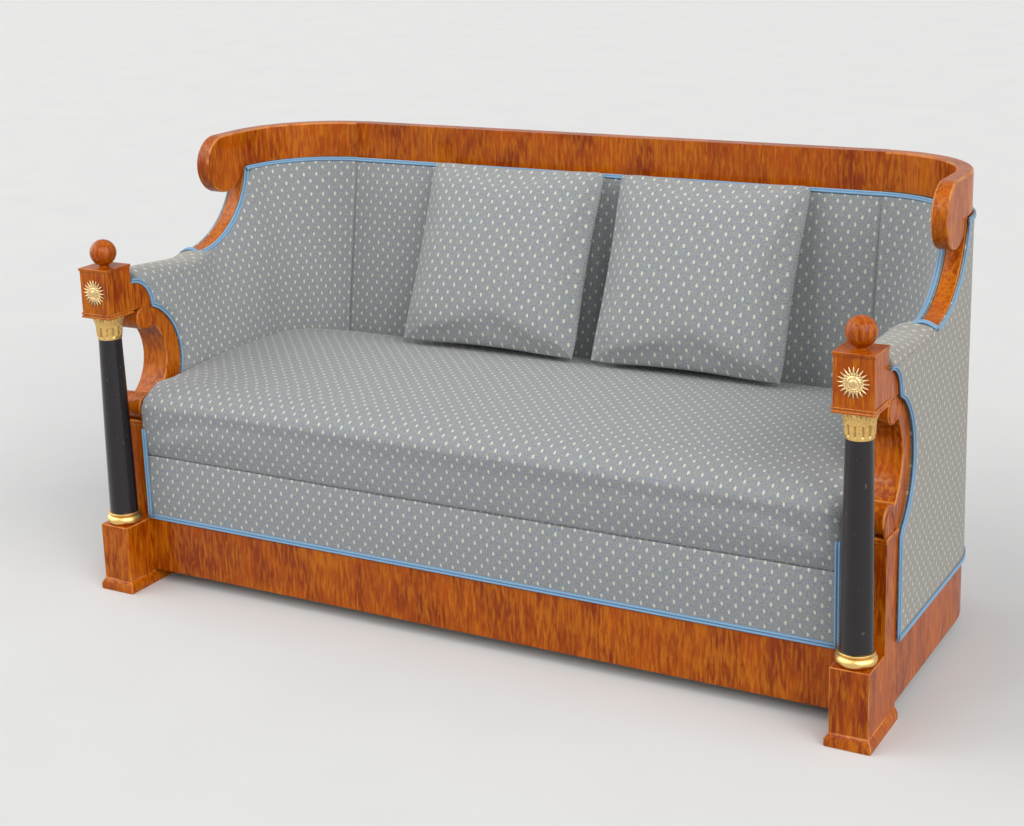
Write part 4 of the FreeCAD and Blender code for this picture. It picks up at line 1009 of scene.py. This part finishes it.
def make_seat_cover():
    profile = seat_profile()
    runs = [0]
    for (y, z), (next_y, next_z) in zip(profile, profile[1:]):
        runs.append(runs[-1] + math.hypot(next_y - y, next_z - z))
    full_level, front_depth = 0.44, 0.05
    bow, end_drop, end_turn = 0.003, 0.008, 0.018

    def place(column, row):
        y, z = profile[row]
        across = seat_across(column)
        half = seat_half(y)
        near_end = 1 - round_over(half * (1 - abs(across)), EDGE_ROUND)
        above = smooth_step(BORDER_TOP, full_level, z)
        z -= above * (bow * across * across + end_drop * near_end)
        if y < RAIL_FRONT_Y + front_depth:
            y += near_end * end_turn * above + bow * across * across
        return Vector((across * half, y, z))

    def cloth(column, row):
        return Vector((seat_across(column) * SEAT_HIGH.x, runs[row], 0))

    shape = panel(SEAT_COLUMNS, len(profile) - 1, place, cloth, FORWARD / 2 + UP)
    seam = BORDER_TOP + 3 * GAP
    rim = [line for line in shape.edges if line.is_boundary and max(c.co.z for c in line.verts) > seam]
    skirt = bmesh.ops.extrude_edge_only(shape, edges=rim)
    for corner in skirt["geom"]:
        if isinstance(corner, bmesh.types.BMVert):
            corner.co.z = BORDER_TOP + GAP
    made = piece("seat_cover", closed(shape), (COVER,), sharp=180)
    held_edge(made, 2)
    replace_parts(made, "seat_pad")
    return [(made, *SEAT_PUSH)]


def make_border():
    """The flat border between the front rail and the seat."""
    low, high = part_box("seat_border")
    columns, rows = 90, 12
    puff, ripple = 0.0045, 0.0007

    def place(column, row):
        share = row / rows
        x = between(low.x, high.x, column / columns)
        y = RAIL_FRONT_Y - puff * arch(share) - ripple * math.sin(x * 46) * share
        return Vector((x, y, between(low.z, high.z, share)))

    shape = panel(columns, rows, place, upright_cloth(place), FORWARD)
    made = piece("front_border", shape, (COVER,), sharp=180)
    held_edge(made, 1)
    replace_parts(made, "seat_border")
    return [(made, *BORDER_PUSH)]


def tacked(made, node, thickness):
    """Thickens a cloth that stands for a sheet of the frame, and measures its width, depth and height."""
    thickened(made, thickness)
    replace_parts(made, node)
    places = [corner.co for corner in made.data.vertices]
    return [max(place[axis] for place in places) - min(place[axis] for place in places) for axis in range(3)]


OUTER_ROWS = 30
OUTER_PUFF = 0.0015


def make_outer_side_covers():
    radius = COVER_X - CORNER_X
    front_return = 0.016

    def place(column, row):
        share = row / OUTER_ROWS
        guess_y, angle = side_station(column, between(RAIL_TOP, ARM_LEVEL, share))
        top = CREST_BASE if angle or guess_y > WING_TIP_Y + WING_REACH else wing_edge(guess_y)
        if on_arm(column):
            top = between(ARM_LEVEL, WING_TIP_Z, smooth_step(WING_TIP_Y - 0.05, WING_TIP_Y, guess_y))
        z = between(RAIL_TOP, top, share)
        y, angle = side_station(column, z)
        puff = OUTER_PUFF * arch(share)
        if column == 0:
            return Vector((COVER_X - front_return, y, z))
        if angle:
            return round_corner(radius - puff, angle, z)
        return Vector((COVER_X - puff, y, z))

    def cloth(column, row):
        where = place(column, row)
        _, angle = side_station(column, where.z)
        # 1: the outer cover is painted warmer, as painted warm light.
        return Vector((CORNER_Y + radius * angle if angle else where.y, where.z, 1))

    for side, sign in SIDES:
        shape = panel(SIDE_COLUMNS, OUTER_ROWS, place, cloth, OUTWARD + BACKWARD)
        made = piece(f"outer_cover_{side}", handed(shape, sign), (COVER,), sharp=180)
        _, _, height = tacked(made, f"outer_side_cover_{side}", SHEET_THICKNESS)
        length = CORNER_Y - front_edge(0) + radius * math.pi / 2


def make_outer_back_cover():
    low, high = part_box("outer_back_cover")
    columns = 60

    def place(column, row):
        share, across = row / OUTER_ROWS, column / columns
        puff = OUTER_PUFF * arch(share) * arch(across)
        return Vector((between(low.x, high.x, across), high.y - 0.001 + puff, between(low.z, high.z, share)))

    # The outer back is painted warmer, as painted warm light.
    shape = panel(columns, OUTER_ROWS, place, upright_cloth(place, painted_warm_light=1), BACKWARD)
    made = piece("outer_cover_back", shape, (COVER,), sharp=180)
    width, _, height = tacked(made, "outer_back_cover", SHEET_THICKNESS)


def make_flat_cloth(name, node):
    """A jute cloth that lies level inside the seat or under it."""
    shape = flat_panel(*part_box(node), columns=40, rows=16)
    made = piece(name, shape, (JUTE,), sharp=180)
    width, depth, _ = tacked(made, node, JUTE_THICKNESS)


# Cushions

def cushion_shape():
    """A square cushion lying flat: two faces sewn at a knife edge, with folds at the corners."""
    columns = 36
    width, height = CUSHION_SIZE
    crown, pinch = 0.058, 0.01
    fold_depth, fold_reach = 0.0035, 0.13

    def spread(step):
        """Where a line of corners lies, -1 to 1, closer together at the seam."""
        return math.sin(math.pi / 2 * (2 * step / columns - 1))

    def place_on(face):
        def place(column, row):
            across, up = spread(column), spread(row)
            full = max((1 - across * across) * (1 - up * up), 0)
            corner_share = (across * up) ** 6
            x = across * (width / 2 - pinch * (1 - up * up) - pinch * corner_share)
            y = up * (height / 2 - pinch * (1 - across * across) - pinch * corner_share)
            to_corner = Vector(((1 - abs(across)) * width / 2, (1 - abs(up)) * height / 2))
            fade = max(1 - to_corner.length / fold_reach, 0) * min(full * 12, 1)
            fold = math.cos(14 * math.atan2(to_corner.y, to_corner.x) + 2 * across + face) * fade
            return Vector((x, y, face * (crown * full ** 0.55 + fold_depth * fold)))
        return place

    def cloth(column, row):
        return Vector((width / 2 * spread(column), height / 2 * spread(row), 0))

    return welded(joined([panel(columns, columns, place_on(face), cloth, UP * face) for face in (1, -1)]))


def make_cushions():
    pads = []
    for side, _ in SIDES:
        made = piece(f"cushion_{side}_stuffed", cushion_shape(), (COVER,),
                     body=f"cushion_{side}", sharp=180)
        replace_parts(made, f"loose_cushion_{side}")
        pads.append((made, *CUSHION_PUSH))
    return pads


def lean_cushions():
    """Stands each cushion on the seat, leaning on the back, which presses its rear face flat."""
    back = bpy.data.objects["back_cover"].data
    wall = BVHTree.FromPolygons([corner.co for corner in back.vertices],
                                [face.vertices for face in back.polygons])
    in_front = -1
    for side, _ in SIDES:
        made = bpy.data.objects[f"cushion_{side}_stuffed"]
        low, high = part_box(f"loose_cushion_{side}")
        reach = [max(corner.co[axis] for corner in made.data.vertices) for axis in (0, 1)]
        full_size = Matrix.Diagonal((CUSHION_SIZE[0] / 2 / reach[0], CUSHION_SIZE[1] / 2 / reach[1], 1, 1))
        stand = Matrix.Rotation(math.pi / 2 - CUSHION_LEAN, 4, "X")
        made.data.transform(Matrix.Translation((low + high) / 2) @ stand @ full_size)
        for corner in made.data.vertices:
            pressed = wall.ray_cast(Vector((corner.co.x, in_front, corner.co.z)), BACKWARD)[0]
            if pressed:
                corner.co.y = min(corner.co.y, pressed.y - CUSHION_CLEAR)
        smoothed(made)


# Gimp

def braid_shape(stations, width):
    """Two cords side by side along stations of (place, outward)."""
    columns = 8
    rows = len(stations) - 1
    runs = [0]
    for (place, _), (after, _) in zip(stations, stations[1:]):
        runs.append(runs[-1] + (after - place).length)

    def place(column, row):
        here, outward = stations[row]
        before = stations[max(row - 1, 0)][0]
        after = stations[min(row + 1, rows)][0]
        across = (after - before).cross(outward).normalized()
        share = column / columns
        cord = abs(math.sin(2 * math.pi * share)) ** 0.6
        return here + across * (share - 0.5) * width + outward * (GIMP_SEAT + GIMP_RISE * cord)

    def cloth(column, row):
        return Vector((GIMP_WIDTH * column / columns, runs[row], 0))

    middle_outward = stations[rows // 2][1]
    return panel(columns, rows, place, cloth, middle_outward)


def make_braid(name, trails, sign=1, width=GIMP_WIDTH):
    shape = joined([braid_shape(trail, width) for trail in trails])
    thickened(piece(name, handed(shape, sign), (GIMP,), sharp=180), GIMP_THICKNESS)


def straight(start, end, outward, steps):
    return [(start.lerp(end, step / steps), outward) for step in range(steps + 1)]


def leaning(trail, lean):
    """The same trail with its braid tipped forward, down on to the wood."""
    shift = 0.001
    tipped = []
    for index, (place, outward) in enumerate(trail):
        along = trail[min(index + 1, len(trail) - 1)][0] - trail[max(index - 1, 0)][0]
        forward = outward.cross(along).normalized()
        if outward.x < 0:
            forward = -forward
        tipped.append((place + forward * shift, (outward + forward * lean).normalized()))
    return tipped


def front_trail(x, offset, outward, low, steps):
    """Up the front edge of an arm: along the post and the C-scroll, then round the ear."""
    trail = []
    for step in range(steps + 1):
        z = between(low, EAR_BASE, step / steps)
        trail.append((Vector((x, front_edge(z, 0) + offset, z)), outward))
    for y, z in arc_points((BLOCK_BACK_Y, EAR_BASE), EAR_RADIUS + offset, 0, 90, 12)[1:]:
        trail.append((Vector((x, y, z)), outward))
    return trail


def round_trail(x, z, start_y, steps, facing=1, tip=0):
    """Level along one half of the sofa, from a place on the side to the middle of the back."""
    def outward(angle):
        return Vector((facing * math.cos(angle), facing * math.sin(angle), tip)).normalized()

    radius = x - CORNER_X
    back_y = CORNER_Y + radius
    trail = straight(Vector((x, start_y, z)), Vector((x, CORNER_Y, z)), outward(0), steps)
    for step in range(1, 17):
        angle = math.pi / 2 * step / 16
        trail.append((round_corner(radius, angle, z), outward(angle)))
    behind = straight(Vector((CORNER_X, back_y, z)), Vector((0, back_y, z)), outward(math.pi / 2), 24)
    return trail + behind[1:]


def wing_trail(x, outward, offset):
    """Along the hollow edge of a wing board, from its tip to the crest, flat on it if there is no outward."""
    last = math.asin(WING_REACH / WING_RADIUS)
    reach = WING_RADIUS + offset
    trail = []
    for step in range(25):
        angle = last * step / 24
        z = WING_TIP_Z + WING_RADIUS - reach * math.cos(angle)
        edge_on = Vector((-0.5, -math.sin(angle), math.cos(angle))).normalized()
        trail.append((Vector((x, WING_TIP_Y + reach * math.sin(angle), z)), outward or edge_on))
    return trail


def tip_trail():
    """Over the arm, in front of the wing board's tip."""
    bow = 0.011
    start = Vector((WALL_X - PAD_EDGE, WING_TIP_Y - GIMP_WIDTH / 2, WING_TIP_Z - 0.003))
    end = Vector((COVER_X + 0.002, start.y, start.z))
    trail = []
    for step in range(13):
        share = step / 12
        place = start.lerp(end, share) + UP * (bow * arch(share))
        trail.append((place, Vector((share - 0.5, -0.25, 0.9)).normalized()))
    return trail


def make_front_gimp():
    """Along the front rail and up beside each post."""
    base = RAIL_TOP + GIMP_WIDTH / 2 + GIMP_CLEAR
    face = RAIL_FRONT_Y - 0.0015
    foot_depth, top_depth = 0.004, 0.005
    trails = [straight(Vector((-SEAT_HIGH.x, face, base)), Vector((SEAT_HIGH.x, face, base)), FORWARD, 60)]
    for _, sign in SIDES:
        foot = Vector((sign * (SEAT_HIGH.x - GIMP_WIDTH / 2), face - foot_depth, base))
        trails.append(straight(foot, Vector((foot.x, face - top_depth, POST_TOP)), FORWARD, 12))
    make_braid("gimp_front", trails)


def make_side_gimp(side, sign):
    """Along the edges of an arm's and a corner's covers, inside and outside."""
    seat_line = 0.445
    inner = front_trail(POST_INNER_X - 0.001, GIMP_WIDTH / 2, INWARD, seat_line, 24)
    make_braid(f"gimp_inner_arm_{side}", [leaning(inner, INNER_LEAN)], sign)

    half = OUTER_GIMP_WIDTH / 2
    wing_end = WING_TIP_Y + WING_REACH
    outer = front_trail(COVER_X, half - GIMP_LAP, OUTWARD, RAIL_TOP + GIMP_WIDTH / 2 + GIMP_CLEAR, 36)
    rail = round_trail(COVER_X, RAIL_TOP + half + GIMP_CLEAR, front_edge(0), 16)
    wing = wing_trail(COVER_X, OUTWARD, half)
    crest = round_trail(COVER_X, CREST_BASE - half - GIMP_CLEAR, wing_end - 0.004, 16)
    make_braid(f"gimp_outer_{side}", [leaning(outer, OUTER_LEAN), rail, wing, crest], sign, OUTER_GIMP_WIDTH)

    wing_depth, crest_depth, crest_drop = 0.0075, 0.0102, 0.0028
    wing = wing_trail(WALL_X - wing_depth, None, 0.0015)
    crest = round_trail(WALL_X - crest_depth, CREST_BASE - crest_drop, wing_end - 0.006, 4, facing=-1, tip=1)
    make_braid(f"gimp_inner_back_{side}", [wing, crest, tip_trail()], sign)


# Hidden pieces

def make_webbing():
    """Jute strips under the springs, in place of the frame's, each a little slack between the rails."""
    slack = 0.00006
    shape = node_shape("seat_webbing")
    strips = []
    loose = set(shape.verts)
    while loose:
        reached = {loose.pop()}
        strip = set()
        while reached:
            corner = reached.pop()
            strip.add(corner)
            reached |= {line.other_vert(corner) for line in corner.link_edges} - strip
        loose -= strip
        low = [min(corner.co[axis] for corner in strip) for axis in range(3)]
        high = [max(corner.co[axis] for corner in strip) for axis in range(3)]
        columns, rows = (40, 4) if high[0] - low[0] > high[1] - low[1] else (4, 40)
        strips.append(flat_panel(low, high, columns, rows, slack))
    shape.free()
    made = piece("webbing_strips", joined(strips), (JUTE,), sharp=180)
    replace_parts(thickened(made, WEBBING_THICKNESS), "seat_webbing")


def finish_hidden():
    """Gives the pieces inside the frame their plain finishes."""
    wooden = ("frame_dowels", "arm_rails", "frame_uprights", "tacking_rails", "seat_cross_rails",
              "glue_blocks")
    for names, finish in ((wooden, FRAME_WOOD), (("seat_springs",), STEEL)):
        for name in names:
            for holder in nodes[name].material_slots:
                holder.material = finish.material


# Floor, light and camera

def make_floor():
    """A pale floor. It throws less light back up at the sofa than its colour would."""
    shape = bmesh.new()
    bmesh.ops.create_grid(shape, x_segments=4, y_segments=4, size=60)
    floor = Finish("pale_floor")
    cloudy = floor.noise(floor.place(), 3, 3)
    pale = floor.mix(cloudy, tone(210, 210, 210), tone(217, 217, 216))
    colour = floor.mix(floor.seen(), tone(128, 130, 138), pale)
    floor.surface(base_color=colour, roughness=0.8 - cloudy * 0.1)
    ground = placed("floor", mesh_of("floor", shape, (floor,)))


def soft_light(name, toward, level, colour, spread):
    """A broad, even light from one side. level is the share of a white surface's brightness that it gives."""
    light = bpy.data.lights.new(name, "SUN")
    light.angle = spread
    light.color = colour
    light.energy = level * math.pi
    made = placed(name, light)
    made.matrix_world = Vector(toward).to_track_quat("Z", "Y").to_matrix().to_4x4()


def make_light():
    world = bpy.data.worlds.new("studio")
    bpy.context.scene.world = world
    world.use_nodes = True
    sky = Nodes(world.node_tree)
    plain = sky.tree.nodes["Background"]
    sky.feed(plain, {"Color": tone(232, 238, 248), "Strength": 0.28})
    daylight = Value(sky, plain.outputs[0])
    backdrop = sky.node("ShaderNodeBackground", None, {"Color": tone(214, 214, 213)})
    choice = sky.node("ShaderNodeMixShader", None, {0: sky.seen(), 1: daylight, 2: backdrop})
    sky.feed(sky.tree.nodes["World Output"], {"Surface": choice})
    soft_light("key_light", (0.55, -0.58, 0.60), 0.47, (1, 0.99, 0.97), 0.8)
    soft_light("fill_light", (-0.55, -0.58, 0.60), 0.32, (1, 0.99, 0.97), 1.0)
    soft_light("right_light", (0.93, -0.14, 0.32), 0.68, (1, 0.98, 0.95), 1.2)
    soft_light("left_light", (-0.93, -0.14, 0.32), 0.58, (1, 0.98, 0.95), 1.2)
    soft_light("window_light", (-0.35, -0.75, 0.56), 0.05, (1, 1, 1), 0.16)


def make_camera():
    camera = bpy.data.cameras.new("photo_camera")
    camera.sensor_width = 36
    camera.lens = 63.99
    camera.shift_y = -0.12
    place = (1.8362, -3.3152, 1.6047)
    round_angle, down_angle, roll = 0.5146, 0.2361, -0.0295
    made = placed("photo_camera", camera)
    turn = Matrix.Rotation(round_angle, 4, "Z") @ Matrix.Rotation(math.pi / 2 - down_angle, 4, "X")
    made.matrix_world = Matrix.Translation(place) @ turn @ Matrix.Rotation(roll, 4, "Z")
    bpy.context.scene.camera = made


make_camera()
make_show_wood()
make_balls()
make_scroll_buttons()
make_columns()
make_rosettes()
pads = make_side_covers() + make_back_cover() + make_seat_cover() + make_border() + make_cushions()
settle(pads)
for pad, _, _ in pads:
    if not pad.name.startswith("cushion"):
        thickened(pad, COVER_THICKNESS)
        smoothed(pad)
lean_cushions()
make_outer_side_covers()
make_outer_back_cover()
make_flat_cloth("hessian", "spring_hessian")
make_webbing()
make_flat_cloth("bottom_cloth", "dust_cover")
make_front_gimp()
for side, sign in SIDES:
    make_side_gimp(side, sign)
finish_hidden()
make_floor()
make_light()
bpy.context.scene.view_settings.view_transform = "Standard"
